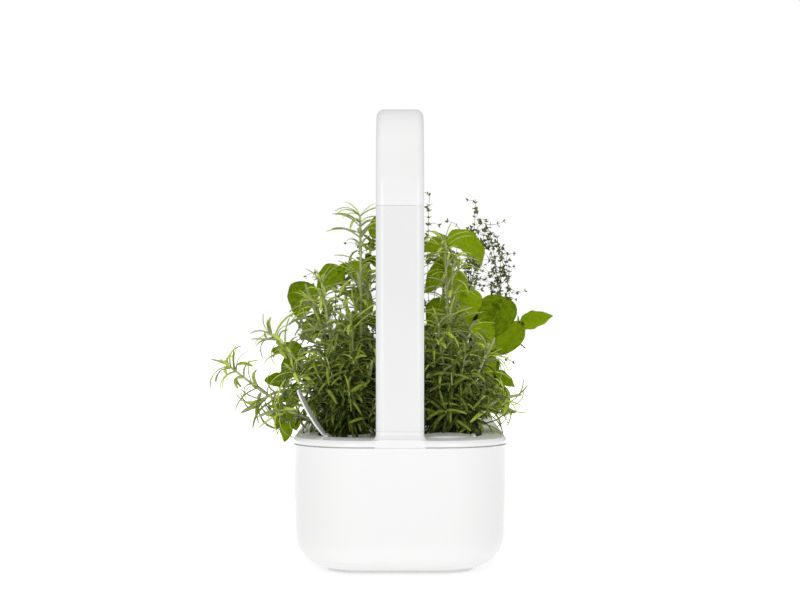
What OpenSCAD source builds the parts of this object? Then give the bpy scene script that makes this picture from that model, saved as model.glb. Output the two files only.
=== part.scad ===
// Countertop hydroponic garden: a long white water tank on a low plinth, a lid that carries nine
// planted pods, and a lamp that stands on two arms like a carrying handle.
// X runs across the tank, Y along it and Z up. The origin is the middle of the face it rests on.

/* [Tank] */
// Length of the tank at its rim
tank_l = 600; // [560:10:720]
// Width of the tank at its rim
tank_w = 186; // [178:2:210]
// Height of the rim above the worktop
rim_z = 111; // [105:1:130]
// Radius of the tank's corners seen from above
corner_r = 60; // [56:1:68]
// How far each side leans in from the rim to the bottom curve
side_draft = 2.2; // [1:0.1:4]
// Radius of the curve between the sides and the bottom
bottom_r = 30; // [20:1:34]
// Thickness of the tank's wall
tank_wall = 2.5; // [2:0.1:3]
// Height of the tank's bottom above the worktop
belly_z = 4; // [3.6:0.1:5]

/* [Plinth] */
// How far the plinth stands in from the tank's sides
plinth_side_in = 29.5; // [26:0.5:38]
// How far the plinth stands in from the tank's ends
plinth_end_in = 38; // [35:1:60]
// Corner radius of the plinth
plinth_r = 30; // [20:1:40]
// Length of each rubber strip
strip_l = 92; // [60:2:96]
// Width of each rubber strip
strip_w = 14; // [8:1:18]
// Height of each rubber strip
strip_h = 2; // [1.6:0.1:2.2]
// How far the strips stand out of the plinth
strip_proud = 0.8; // [0.6:0.1:1]

/* [Lid] */
// Width of the raised border round the lid
border_w = 21; // [19:0.5:24]
// Height of the border's inner edge above the tank's rim
border_h = 7.6; // [7:0.1:9]
// How much the border falls away towards its outer edge
border_fall = 1.6; // [1:0.1:2.4]
// Radius of the lid's outer edge
edge_r = 3; // [2:0.1:3.4]
// Depth of the deck below the border's inner edge
deck_drop = 4.1; // [3.6:0.1:4.6]
// Thickness of the deck
deck_t = 2.4; // [2:0.1:2.8]
// Depth of the locating skirt below the rim
skirt_h = 6; // [4:0.5:10]
// Thickness of the locating skirt
skirt_t = 2.4; // [2:0.1:3]
// Gap between the skirt and the tank's wall
skirt_gap = 0.5; // [0.4:0.05:0.8]
// Height of the seams between the lid, the arms and the lamp
seam_h = 0.5; // [0.2:0.1:0.8]
// Depth of those seams
seam_d = 0.6; // [0.2:0.1:0.8]

/* [Pods] */
// Width of deck left between two pod holes
pod_spacing = 7; // [6:0.5:10]
// Distance of the outer pods from the tank's ends
pod_end = 110; // [106:1:120]
// Gap round a cup in its hole
cup_gap = 0.6; // [0.4:0.1:1]
// Height of a cup below its flange
cup_h = 62; // [50:1:66]
// Diameter of a cup's bottom
cup_base_d = 33; // [28:1:36]
// How far a cup's flange laps over the deck
cup_lap = 1.5; // [1:0.1:2]
// Thickness of a cup's flange
cup_flange_t = 1.6; // [1.2:0.1:2]
// Thickness of a cup's wall
cup_wall = 1.4; // [1:0.1:1.8]
// Root windows round a cup
cup_windows = 6; // [4:1:8]
// Gap round the growing sponge in its cup
sponge_gap = 0.3; // [0.2:0.1:0.6]
// How far the sponge's top lies below the flange
sponge_sink = 2.4; // [1.6:0.1:4]

/* [Arms] */
// Width of the arms and the lamp across the tank
arm_w = 41; // [36:1:44]
// Thickness of the arms and the lamp
arm_t = 18.5; // [17:0.5:19]
// Radius of the arms' long edges
arm_edge_r = 6.5; // [5:0.5:7]
// Wall of the arms and the lamp
arm_wall = 2.2; // [2:0.1:2.6]
// Distance of the arms from the lid's ends
arm_setback = 3; // [2.5:0.1:3]
// Height of the arm bosses on the lid above the rim
boss_h = 13.5; // [13:0.5:18]
// Radius of the fillet at the foot of each boss
boss_fillet = 5; // [3:0.5:6]
// Length of an arm extension
extension_h = 191.5; // [150:0.5:240]
// Length of the spigots that join the arms
spigot_h = 9.5; // [8:0.5:10]
// Gap round a spigot in its socket
spigot_gap = 0.3; // [0.2:0.05:0.4]
// Wall of a spigot
spigot_wall = 2; // [1.6:0.1:2.4]

/* [Lamp] */
// Radius of the lamp's outer bends
bend_r = 80; // [60:1:90]
// Straight foot of the lamp below each bend
lamp_foot = 8; // [4:1:20]
// Width of the strip that closes the lamp's inner side
inner_cover_w = 34; // [32:0.5:35]
// Width of the clear window
window_w = 27; // [20:1:29]
// Distance of the clear window from the lamp's bends
window_end = 17; // [12:1:40]
// Gap round covers and windows
cover_gap = 0.25; // [0.15:0.05:0.35]
// Width of the lamp's circuit board
board_w = 25; // [20:1:28]
// Thickness of the circuit boards
board_t = 1.6; // [1:0.1:2]
// Thickness of the aluminium heat spreader
spreader_t = 2.5; // [1.5:0.1:3]
// Rows of light emitters along the board
led_rows = 24; // [10:2:28]
// Emitters side by side in a row
led_columns = 3; // [1:1:4]
// Size of one emitter
led_size = 3; // [2:0.1:4]

/* [Flap and float] */
// Distance of the hinge pins from the border's inner edge
hinge_in = 8; // [7:0.5:10]
// Height of the hinge pins above the deck
hinge_rise = 2.7; // [2.6:0.1:3]
// Length of the flap from its hinge
flap_l = 48; // [44:0.5:49]
// Depth of the flap along the tank
flap_d = 48; // [40:0.5:49]
// Thickness of the flap
flap_t = 1.4; // [1:0.1:1.6]
// Radius of the flap's crown
flap_crown_r = 163; // [140:1:220]
// Angle at which the open flap leans back from closed
flap_open = 120; // [100:1:124]
// Diameter of the hinge pins
pin_d = 2; // [1.6:0.1:2.2]
// Radial play between a knuckle and its pin
pin_play = 0.05; // [0.03:0.01:0.09]
// Width of the float
float_w = 24; // [18:1:26]
// Height of the float
float_h = 16; // [10:1:20]

/* [Controls] */
// Diameter of the power button
button_d = 9; // [7:0.5:10]
// How far the button stands out of the lamp
button_proud = 1.2; // [1.1:0.1:1.6]
// Button travel
button_travel = 1; // [0.8:0.1:1]
// Bore of the power inlet
inlet_bore_d = 5.6; // [5:0.1:6]
// Outer diameter of the power inlet
inlet_d = 9; // [8:0.1:9.4]
// Length of the power inlet
inlet_l = 12; // [10:0.5:12.5]

/* [Hidden] */
$fn = 48;

core_w = tank_w - 2 * corner_r;
core_l = tank_l - 2 * corner_r;
contour_r = corner_r - border_w;
crown_z = rim_z + border_h;
deck_z = crown_z - deck_drop;
crown_r = (border_w * border_w + border_fall * border_fall) / (2 * border_fall);
shoulder_r = corner_r - edge_r;
shoulder_z = crown_z - crown_r + sqrt(crown_r * crown_r - pow(shoulder_r - contour_r, 2));
skirt_r = corner_r - tank_wall - skirt_gap;
deck_half_w = core_w / 2 + contour_r;
deck_half_l = core_l / 2 + contour_r;

plinth_w = tank_w - 2 * plinth_side_in;
plinth_l = tank_l - 2 * plinth_end_in;
floor_z = strip_proud + tank_wall;
strip_pitch = tank_l / 3;
strip_r = 3;
strip_gap = 0.3;

pod_pitch_x = 2 * deck_half_w / 3;
pod_pitch_y = tank_l / 2 - pod_end;
hole_d = pod_pitch_x - pod_spacing;
cup_flange_d = hole_d + 2 * cup_lap;
cup_top_r = hole_d / 2 - cup_gap;
cup_sill = 8;
cup_window_w = 5;
collar_t = 1.8;
collar_h = 7;
root = 2;
leaf_step = 1.1;
leaf_shape = 0.74;
sponge_z = deck_z + cup_flange_t - sponge_sink;
pods = [for (row = [-1:1]) for (column = [-1:1]) [column * pod_pitch_x, row * pod_pitch_y]];

arm_y = tank_l / 2 - arm_setback - arm_t / 2;
boss_z = rim_z + boss_h;
joint_z = boss_z + extension_h;
bend_z = joint_z + lamp_foot;
bend_y = arm_y + arm_t / 2 - bend_r;
lamp_top_z = bend_z + bend_r;
lamp_under_z = lamp_top_z - arm_t;
bore_w = arm_w - 2 * arm_wall;
bore_t = arm_t - 2 * arm_wall;
bore_r = arm_edge_r - arm_wall;
spigot_w = bore_w - 2 * spigot_gap;
spigot_t = bore_t - 2 * spigot_gap;
spigot_r = bore_r - spigot_gap;
web_t = 2;
contact_play = 0.6;
lead_play = 0.1;

window_l = 2 * (bend_y - window_end);
window_r = 3;
led_h = 1;
led_gap = 1.6;
led_end = 8;
board_z = lamp_under_z + arm_wall + led_gap + led_h;
board_l = window_l - 4;
spreader_z = board_z + board_t;
spreader_lip = 2;
led_pitch = (board_l - 2 * led_end) / led_rows;
post_d = 6;
post_y = led_pitch * round(3 * led_rows / 8);
screw_d = 2.5;
screw_head_d = 5;
screw_head_h = 1.4;
screw_bite = 5;
screw_play = 0.4;
control_l = 42;
control_w = 28;
control_lift = 1.2;
control_y = board_l / 2 - control_l / 2 - 1;
control_post_d = 3;
control_post_in = 4;
control_z = spreader_z + spreader_t + control_lift;
switch_w = 6;
button_y = board_l / 2 - led_end;
button_rim = 1;
button_rim_t = 1;
button_gap = 0.3;
roof_z = lamp_top_z - arm_wall;
switch_h = roof_z - button_rim_t - button_travel - 0.2 - control_z - board_t;

wire_d = 1.6;
wire_x = 6;
contact_d = 2;
contact_rise = 4;
inlet_cover = 2;
inlet_x = arm_w / 2 + inlet_d;
inlet_z = rim_z + inlet_d / 2 + inlet_cover;
inlet_pin_d = 2;
inlet_floor = 2;
housing_w = 16;
housing_z = inlet_z + inlet_d / 2 + 1;
lead_first = 2;
lead_step = 3;

hinge_x = deck_half_w - hinge_in;
hinge_z = deck_z + hinge_rise;
flap_sag = flap_crown_r - sqrt(flap_crown_r * flap_crown_r - flap_l * flap_l / 4);
knuckle_d = 4.4;
knuckle_l = 20;
ear_t = 3;
ear_gap = 0.3;
flap_gap = 1.7;
flap_reach_x = deck_half_w - flap_gap;
flap_reach_y = deck_half_l - flap_gap;
flap_near_r = 8;
flap_far_r = 24;
flap_lap = 0.8;
hinge_shift = 5;
flap_y = flap_d / 2 - flap_reach_y;
hinge_y = flap_y + hinge_shift;
port_w = 30;
port_l = 28;
port_r = 5;
float_x = hinge_x - flap_l / 2;
float_r = 4;
float_drop = 24;
float_arm_w = 6;
float_arm_t = 3;

pin_white = "#f4f5f4";
shell_white = "#f7f8f8";
steel = "#b8bcc0";
copper = "#c58a4a";
rubber = "#4a4c4e";
leaf_green = "#5f8a2f";
needle_green = "#6f8f5a";
thyme_green = "#5d7f4a";
plant_greens = [needle_green, thyme_green, needle_green, leaf_green, leaf_green, leaf_green,
                thyme_green, thyme_green, thyme_green];

// A rounded rectangle with true arcs at its corners.
module round_rect(w, l, r) {
    square([w - 2 * r, l], center = true);
    square([w, l - 2 * r], center = true);
    for (x = [-1, 1])
        for (y = [-1, 1])
            translate([x * (w / 2 - r), y * (l / 2 - r)]) circle(r);
}

module round_slab(w, l, r, low, high) {
    translate([0, 0, low]) linear_extrude(high - low) round_rect(w, l, r);
}

// Carries a profile of [distance out from the core rectangle, height] right round that rectangle.
module around_core(w, l) {
    for (corner = [[1, 1, 0], [-1, 1, 90], [-1, -1, 180], [1, -1, 270]])
        translate([corner[0] * w / 2, corner[1] * l / 2, 0])
            rotate([0, 0, corner[2]])
                rotate_extrude(angle = 90) children();
    for (side = [0, 1])
        rotate([0, 0, side * 180]) {
            translate([w / 2, l / 2, 0]) rotate([90, 0, 0]) linear_extrude(l) children();
            translate([-w / 2, l / 2, 0]) rotate([90, 0, 90]) linear_extrude(w) children();
        }
}

module block(low, high) {
    translate(low) cube(high - low);
}

// Half of the tank's section: sides that lean in, a quarter-round belly and a flat bottom.
module belly_profile(wall, top) {
    foot_r = corner_r - side_draft - bottom_r;
    side_r = bottom_r - wall;
    polygon([
        [0, belly_z + wall], [foot_r, belly_z + wall], [foot_r, belly_z + bottom_r],
        [foot_r + side_r, belly_z + bottom_r], [corner_r - wall, rim_z], [corner_r - wall, top], [0, top]
    ]);
    intersection() {
        translate([foot_r, belly_z + bottom_r]) circle(side_r);
        translate([foot_r, belly_z + wall]) square(side_r);
    }
}

module water_tank() color(shell_white) difference() {
    union() {
        around_core(core_w, core_l) difference() {
            belly_profile(0, rim_z);
            belly_profile(tank_wall, rim_z + 1);
        }
        block([-core_w / 2, -core_l / 2, belly_z], [core_w / 2, core_l / 2, belly_z + tank_wall]);
        round_slab(plinth_w, plinth_l, plinth_r, strip_proud, belly_z + tank_wall / 2);
    }
    round_slab(plinth_w - 2 * tank_wall, plinth_l - 2 * tank_wall, plinth_r - tank_wall,
               floor_z, belly_z + tank_wall + 1);
    for (n = [-1:1])
        translate([0, n * strip_pitch, 0])
            round_slab(strip_l + 2 * strip_gap, strip_w + 2 * strip_gap, strip_r + strip_gap, 0, strip_h);
}

module foot_strips() color(rubber)
    for (n = [-1:1])
        translate([0, n * strip_pitch, 0]) round_slab(strip_l, strip_w, strip_r, 0, strip_h);

// The border's section: crowned on top, rounded at its outer edge, hollow underneath, with a skirt.
module border_profile() {
    difference() {
        intersection() {
            translate([contour_r, deck_z - deck_t]) square([border_w, border_h + skirt_h]);
            translate([contour_r, crown_z - crown_r]) circle(crown_r, $fn = 180);
            translate([0, rim_z]) square([corner_r, border_h + 1]);
        }
        translate([shoulder_r, shoulder_z - edge_r]) difference() {
            square([edge_r + 1, edge_r + 1]);
            circle(edge_r);
        }
        translate([corner_r - seam_d, rim_z]) square([seam_d, seam_h]);
        translate([contour_r + deck_t, rim_z - 1])
            square([skirt_r - skirt_t - contour_r - deck_t, 1 + border_h - border_fall - deck_t]);
    }
    translate([skirt_r - skirt_t, rim_z - skirt_h]) square([skirt_t, skirt_h + 2]);
}

// Where the lid may be: inside its outer edge, and a little further in at the seam over the rim.
module lid_envelope(high) {
    round_slab(tank_w, tank_l, corner_r, rim_z + seam_h, high);
    round_slab(tank_w - 2 * seam_d, tank_l - 2 * seam_d, corner_r - seam_d, rim_z, high);
}

// The boss that an arm plugs into, flared at its foot but flat towards the deck.
module arm_boss() {
    difference() {
        intersection() {
            around_core(arm_w - 2 * arm_edge_r, arm_t - 2 * arm_edge_r) difference() {
                translate([0, rim_z]) square([arm_edge_r + boss_fillet, boss_h]);
                translate([arm_edge_r + boss_fillet, crown_z - 1 + boss_fillet]) circle(boss_fillet);
                translate([arm_edge_r, crown_z - 1 + boss_fillet]) square([boss_fillet + 1, boss_h]);
            }
            translate([0, -arm_y, 0]) lid_envelope(boss_z);
            block([-arm_w, -arm_t / 2, rim_z], [arm_w, arm_t, boss_z]);
        }
        boss_socket();
    }
    difference() {
        block([-arm_w / 2 + arm_edge_r, -arm_t / 2 + arm_edge_r, rim_z],
              [arm_w / 2 - arm_edge_r, arm_t / 2 - arm_edge_r, boss_z]);
        boss_socket();
    }
}

module boss_socket() {
    round_slab(bore_w, bore_t, bore_r, boss_z - spigot_h - spigot_gap, boss_z + 1);
}

// A block beside the rear boss that holds the power inlet.
module inlet_housing() {
    difference() {
        block([arm_w / 2 - arm_edge_r, arm_y - arm_t / 2, rim_z],
              [inlet_x + housing_w / 2, arm_y + arm_t / 2, housing_z]);
        translate([0, arm_y, 0]) boss_socket();
        lid_holes();
    }
}

// Puts a shape with its mouth at +Z on the inlet's axis, mouth on the housing's outer face.
module inlet_place() {
    translate([inlet_x, arm_y + arm_t / 2 - inlet_l, inlet_z]) rotate([-90, 0, 0]) children();
}

// The flap's outline, closed, grown by a margin: straight at its hinge, round at its free end and
// parallel to the border's inner edge.
module flap_outline(grow) {
    intersection() {
        round_rect(2 * (flap_reach_x + grow), 2 * (flap_reach_y + grow), contour_r - flap_gap + grow);
        union() {
            translate([-hinge_x, -flap_reach_y - grow]) square([flap_l - flap_far_r, flap_d + 2 * grow]);
            translate([-hinge_x, -flap_reach_y - grow])
                square([flap_l - flap_near_r + grow, flap_d - flap_far_r + grow]);
            translate([-hinge_x, -flap_reach_y + flap_near_r])
                square([flap_l + grow, flap_d - flap_far_r - flap_near_r]);
            translate([-hinge_x + flap_l - flap_near_r, -flap_reach_y + flap_near_r])
                circle(flap_near_r + grow);
            translate([-hinge_x + flap_l - flap_far_r, -flap_reach_y + flap_d - flap_far_r])
                circle(flap_far_r + grow);
        }
    }
}

// A crowned leaf with its knuckle, lying closed on the left of the lid.
module flap_leaf() {
    difference() {
        intersection() {
            translate([0, 0, deck_z - 2]) linear_extrude(hinge_rise + 8) flap_outline(0);
            translate([-hinge_x + flap_l / 2, 0, hinge_z + flap_sag - flap_crown_r]) rotate([90, 0, 0])
                difference() {
                    cylinder(r = flap_crown_r + flap_t / 2, h = tank_l, $fn = 360);
                    cylinder(r = flap_crown_r - flap_t / 2, h = tank_l, $fn = 360);
                }
        }
        for (y = [hinge_y + knuckle_l / 2, hinge_y - knuckle_l / 2 - flap_d])
            block([-hinge_x - 1, y, deck_z - 1], [-hinge_x + knuckle_d / 2 + 1, y + flap_d, hinge_z + 5]);
        hinge_bore(pin_d / 2 + pin_play);
    }
    difference() {
        translate([-hinge_x, hinge_y + knuckle_l / 2, hinge_z]) rotate([90, 0, 0])
            cylinder(d = knuckle_d, h = knuckle_l);
        hinge_bore(pin_d / 2 + pin_play);
    }
}

module hinge_bore(r) {
    translate([-hinge_x, hinge_y + flap_d, hinge_z]) rotate([90, 0, 0]) cylinder(r = r, h = 2 * flap_d);
}

module hinge_pin() {
    translate([-hinge_x, hinge_y + knuckle_l / 2 + ear_gap + ear_t, hinge_z]) rotate([90, 0, 0])
        cylinder(d = pin_d, h = knuckle_l + 2 * (ear_gap + ear_t));
}

module hinge_ears() {
    for (side = [-1, 1])
        translate([-hinge_x, hinge_y + side * (knuckle_l / 2 + ear_gap + ear_t / 2), 0]) difference() {
            union() {
                translate([0, ear_t / 2, hinge_z]) rotate([90, 0, 0]) cylinder(d = knuckle_d, h = ear_t);
                block([-knuckle_d / 2, -ear_t / 2, deck_z - deck_t / 2], [knuckle_d / 2, ear_t / 2, hinge_z]);
            }
            translate([0, ear_t, hinge_z]) rotate([90, 0, 0]) cylinder(d = pin_d, h = 2 * ear_t);
        }
}

// The bores for the power inlet and for the contacts.
module lid_holes() {
    inlet_place() cylinder(d = inlet_d, h = inlet_l + 1);
    for (x = [-wire_x, wire_x])
        translate([x, arm_y, rim_z - 1]) cylinder(d = contact_d, h = boss_h);
}

module lid() color(shell_white) {
    difference() {
        union() {
            around_core(core_w, core_l) border_profile();
            round_slab(2 * deck_half_w + 2, 2 * deck_half_l + 2, contour_r + 1, deck_z - deck_t, deck_z);
            for (pod = pods)
                translate([pod[0], pod[1], deck_z - collar_h])
                    cylinder(d = hole_d + 2 * collar_t, h = collar_h);
            for (turn = [0, 180])
                rotate([0, 0, turn]) {
                    translate([0, arm_y, 0]) block([-arm_w / 2 + 1, -arm_t / 2 + 1, rim_z],
                                                   [arm_w / 2 - 1, arm_t / 2 - 1, crown_z - 2]);
                }
        }
        for (pod = pods)
            translate([pod[0], pod[1], deck_z - collar_h - 1]) cylinder(d = hole_d, h = collar_h + 2);
        translate([-float_x, flap_y, 0])
            round_slab(port_w, port_l, port_r, deck_z - deck_t - 1, deck_z + 1);
        mirror([1, 0, 0]) translate([0, 0, deck_z - deck_t - 1]) linear_extrude(deck_t + 2)
            difference() {
                flap_outline(flap_lap);
                translate([-hinge_x - 1, -tank_l / 2]) square([knuckle_d + 1, tank_l]);
            }
        for (turn = [0, 180])
            rotate([0, 0, turn]) translate([0, arm_y, 0]) boss_socket();
        lid_holes();
    }
    difference() {
        for (turn = [0, 180])
            rotate([0, 0, turn]) translate([0, arm_y, 0]) arm_boss();
        lid_holes();
    }
    inlet_housing();
    hinge_ears();
    mirror([1, 0, 0]) hinge_ears();
}

module flap_pin() color(steel) hinge_pin();

module float_pin() color(steel) mirror([1, 0, 0]) hinge_pin();

module power_inlet() color("#2b2d30") inlet_place() {
    difference() {
        cylinder(d = inlet_d, h = inlet_l);
        translate([0, 0, inlet_floor]) cylinder(d = inlet_bore_d, h = inlet_l);
    }
    cylinder(d = inlet_pin_d, h = inlet_l - 1);
}

module lid_contacts() color(copper)
    for (x = [-wire_x, wire_x])
        translate([x, arm_y, rim_z]) cylinder(d = contact_d, h = boss_h - spigot_h + contact_rise);

module lid_wires() color("#a03028") {
    for (n = [0, 1])
        translate([0, arm_y - arm_t / 2 + lead_first + lead_step * n, 0])
            block([(n == 0 ? -1 : 1) * wire_x, 0, rim_z - wire_d], [inlet_x, wire_d, rim_z]);
}

module refill_flap() color(shell_white)
    translate([-hinge_x, 0, hinge_z]) rotate([0, -flap_open, 0]) translate([hinge_x, 0, -hinge_z])
        flap_leaf();

// The level tongue is the flap's mirror image, with an arm that reaches down to the float.
module float_tongue() color(shell_white) {
    mirror([1, 0, 0]) flap_leaf();
    block([float_x - float_arm_w / 2, hinge_y - float_arm_t / 2, hinge_z - float_drop],
          [float_x + float_arm_w / 2, hinge_y + float_arm_t / 2, hinge_z + flap_sag]);
}

module float_body() color("#eef0ef")
    translate([float_x, hinge_y, hinge_z - float_drop - float_h])
        linear_extrude(float_h) round_rect(float_w, float_w, float_r);

// A hollow arm with a spigot below, a socket above and a seam at each end.
module extension() {
    difference() {
        union() {
            round_slab(arm_w, arm_t, arm_edge_r, boss_z + seam_h, joint_z - seam_h);
            round_slab(arm_w - 2 * seam_d, arm_t - 2 * seam_d, arm_edge_r - seam_d, boss_z, joint_z);
            round_slab(spigot_w, spigot_t, spigot_r, boss_z - spigot_h, boss_z + 1);
        }
        round_slab(bore_w, bore_t, bore_r, joint_z - spigot_h - spigot_gap, joint_z + 1);
        round_slab(bore_w, bore_t, bore_r, boss_z + web_t, joint_z - spigot_h - spigot_gap - web_t);
        round_slab(spigot_w - 2 * spigot_wall, spigot_t - 2 * spigot_wall, spigot_r - spigot_wall / 2,
                   boss_z - spigot_h + web_t, boss_z + web_t + 1);
        for (x = [-wire_x, wire_x])
            translate([x, 0, boss_z - spigot_h - 1]) cylinder(d = contact_d + contact_play, h = web_t + 2);
        for (x = [-wire_x, wire_x])
            translate([x, 0, joint_z - spigot_h - web_t - 1]) cylinder(d = wire_d + lead_play, h = web_t + 2);
    }
}

module front_extension() color(pin_white) translate([0, -arm_y, 0]) extension();

module rear_extension() color(pin_white) translate([0, arm_y, 0]) extension();

module rear_wires() color("#a03028")
    for (x = [-wire_x, wire_x])
        translate([x, arm_y, boss_z - spigot_h + web_t + contact_rise])
            cylinder(d = wire_d, h = extension_h - web_t - 1);

// The lamp's section as [distance from the bend's centre, place across the lamp].
module lamp_section(margin) {
    translate([bend_r - arm_t / 2, 0])
        round_rect(arm_t - 2 * margin, arm_w - 2 * margin, arm_edge_r - margin);
}

module inner_cover_section(gap) {
    translate([bend_r - arm_t - gap, -inner_cover_w / 2 + gap])
        square([arm_wall + gap, inner_cover_w - 2 * gap]);
}

// Carries a section up one foot, round the bend, along the lamp and down the other side.
module lamp_sweep() {
    for (turn = [0, 180])
        rotate([0, 0, turn]) translate([0, bend_y, bend_z]) {
            rotate([90, 0, 90]) rotate_extrude(angle = 90, $fn = 96) children();
            rotate([180, 0, 90]) linear_extrude(lamp_foot) children();
        }
    translate([0, -bend_y, bend_z]) rotate([0, -90, -90]) linear_extrude(2 * bend_y) children();
}

module screw_posts(d, low, high) {
    for (y = [-post_y, 0, post_y])
        translate([0, y, low]) cylinder(d = d, h = high - low);
}

module lamp_housing() color(shell_white) difference() {
    union() {
        lamp_sweep() difference() {
            lamp_section(0);
            lamp_section(arm_wall);
            inner_cover_section(0);
        }
        screw_posts(post_d, spreader_z + spreader_t, roof_z + arm_wall / 2);
        for (turn = [0, 180])
            rotate([0, 0, turn]) translate([0, arm_y, 0]) {
                round_slab(spigot_w, spigot_t, spigot_r, joint_z - spigot_h, joint_z + web_t);
                intersection() {
                    round_slab(bore_w + 1, bore_t + 1, bore_r + 0.5, joint_z, joint_z + web_t);
                    block([-arm_w, -bore_t / 2, joint_z - 1], [arm_w, arm_t, joint_z + web_t + 1]);
                }
            }
    }
    screw_posts(screw_d, spreader_z, spreader_z + spreader_t + screw_bite);
    for (turn = [0, 180])
        rotate([0, 0, turn]) translate([0, arm_y, 0]) {
            round_slab(spigot_w - 2 * spigot_wall, spigot_t - 2 * spigot_wall, spigot_r - spigot_wall / 2,
                       joint_z - spigot_h + web_t, joint_z + web_t + 1);
            for (x = [-wire_x, wire_x])
                translate([x, 0, joint_z - spigot_h - 1]) cylinder(d = contact_d + contact_play, h = web_t + 2);
        }
    translate([0, button_y, roof_z - 1]) cylinder(d = button_d + 2 * button_gap, h = arm_wall + 2);
}

module lamp_inner_cover() color(shell_white) difference() {
    lamp_sweep() difference() {
        inner_cover_section(cover_gap);
        translate([0, -arm_w]) square([bend_r - arm_t, 2 * arm_w]);
    }
    round_slab(window_w, window_l, window_r, lamp_under_z - 1, lamp_under_z + arm_wall + 1);
}

module lamp_window() color("#e9eef2")
    round_slab(window_w - 2 * cover_gap, window_l - 2 * cover_gap, window_r - cover_gap,
               lamp_under_z, lamp_under_z + arm_wall);

module heat_spreader() color(steel) difference() {
    block([-board_w / 2 - spreader_lip, -board_l / 2, spreader_z],
          [board_w / 2 + spreader_lip, board_l / 2, spreader_z + spreader_t]);
    screw_posts(screw_d + screw_play, spreader_z - 1, spreader_z + spreader_t + 1);
}

module led_board() color("#f1f1ec") difference() {
    block([-board_w / 2, -board_l / 2, board_z], [board_w / 2, board_l / 2, spreader_z]);
    screw_posts(screw_d + screw_play, board_z - 1, spreader_z + 1);
}

module light_emitters() color("#f3d36b") {
    column_pitch = board_w / led_columns;
    for (row = [0:led_rows - 1])
        for (column = [0:led_columns - 1])
            translate([(column - (led_columns - 1) / 2) * column_pitch,
                       (row - (led_rows - 1) / 2) * led_pitch, board_z - led_h])
                block([-led_size / 2, -led_size / 2, 0], [led_size / 2, led_size / 2, led_h]);
}

module control_board() color("#2f6b46") {
    block([-control_w / 2, control_y - control_l / 2, control_z],
          [control_w / 2, control_y + control_l / 2, control_z + board_t]);
    for (x = [-1, 1])
        for (y = [-1, 1])
            translate([x * (board_w / 2 - 1), control_y + y * (control_l / 2 - control_post_in), 0])
                translate([0, 0, control_z - control_lift]) cylinder(d = control_post_d, h = control_lift);
}

module button_switch() color("#3a3c3f")
    translate([0, button_y, control_z + board_t])
        block([-switch_w / 2, -switch_w / 2, 0], [switch_w / 2, switch_w / 2, switch_h]);

// Two leads from the rear contacts up the rear foot, round the bend and along to the control board.
module lamp_wires() color("#a03028") {
    lead_r = control_z + board_t / 2 - bend_z;
    for (x = [-wire_x, wire_x]) {
        translate([x, bend_y + lead_r, joint_z - spigot_h + web_t + contact_rise])
            cylinder(d = wire_d, h = lamp_foot + spigot_h - web_t - contact_rise);
        translate([x, bend_y, bend_z]) rotate([90, 0, 90]) rotate_extrude(angle = 90)
            translate([lead_r, 0]) circle(d = wire_d);
        translate([x, control_y + control_l / 2, bend_z + lead_r]) rotate([-90, 0, 0])
            cylinder(d = wire_d, h = bend_y - control_y - control_l / 2);
    }
}

module lamp_screws() color(steel)
    for (y = [-post_y, 0, post_y])
        translate([0, y, board_z - screw_head_h]) {
            cylinder(d = screw_head_d, h = screw_head_h);
            cylinder(d = screw_d, h = screw_head_h + board_t + spreader_t + screw_bite - 1);
        }

module power_button() color("#dfe2e3") translate([0, button_y, roof_z - button_rim_t]) {
    cylinder(d = button_d, h = button_rim_t + arm_wall + button_proud);
    cylinder(d = button_d + 2 * (button_gap + button_rim), h = button_rim_t);
}

module at_pod(n) {
    translate([pods[n - 1][0], pods[n - 1][1], 0]) children();
}

// A tapered basket that hangs by its flange, with windows for the roots.
module cup(n) color(pin_white) at_pod(n) difference() {
    rotate_extrude() difference() {
        polygon([
            [0, deck_z - cup_h], [cup_base_d / 2, deck_z - cup_h], [cup_top_r, deck_z],
            [cup_flange_d / 2, deck_z], [cup_flange_d / 2, deck_z + cup_flange_t], [0, deck_z + cup_flange_t]
        ]);
        polygon([
            [0, deck_z - cup_h + cup_wall], [cup_base_d / 2 - cup_wall, deck_z - cup_h + cup_wall],
            [cup_top_r - cup_wall, deck_z], [cup_top_r - cup_wall, deck_z + 2 * cup_flange_t],
            [0, deck_z + 2 * cup_flange_t]
        ]);
    }
    for (k = [0:cup_windows - 1])
        rotate([0, 0, k * 360 / cup_windows])
            block([cup_base_d / 4, -cup_window_w / 2, deck_z - cup_h + cup_sill],
                  [hole_d / 2 + 1, cup_window_w / 2, deck_z - cup_h / 2]);
}

module sponge(n) color("#5a4632") at_pod(n) {
    slope = (cup_top_r - cup_base_d / 2) / cup_h;
    low = deck_z - cup_h + cup_wall;
    low_r = cup_base_d / 2 - cup_wall - sponge_gap;
    high_r = min(low_r + slope * (sponge_z - low), cup_top_r - cup_wall - sponge_gap);
    translate([0, 0, low]) cylinder(r1 = low_r, r2 = high_r, h = sponge_z - low);
}

function bend(a, b, c, t) = (1 - t) * (1 - t) * a + 2 * t * (1 - t) * b + t * t * c;
function heading(a, b, c, t) = 2 * (1 - t) * (b - a) + 2 * t * (c - b);
function unit(v) = v / norm(v);

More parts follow.
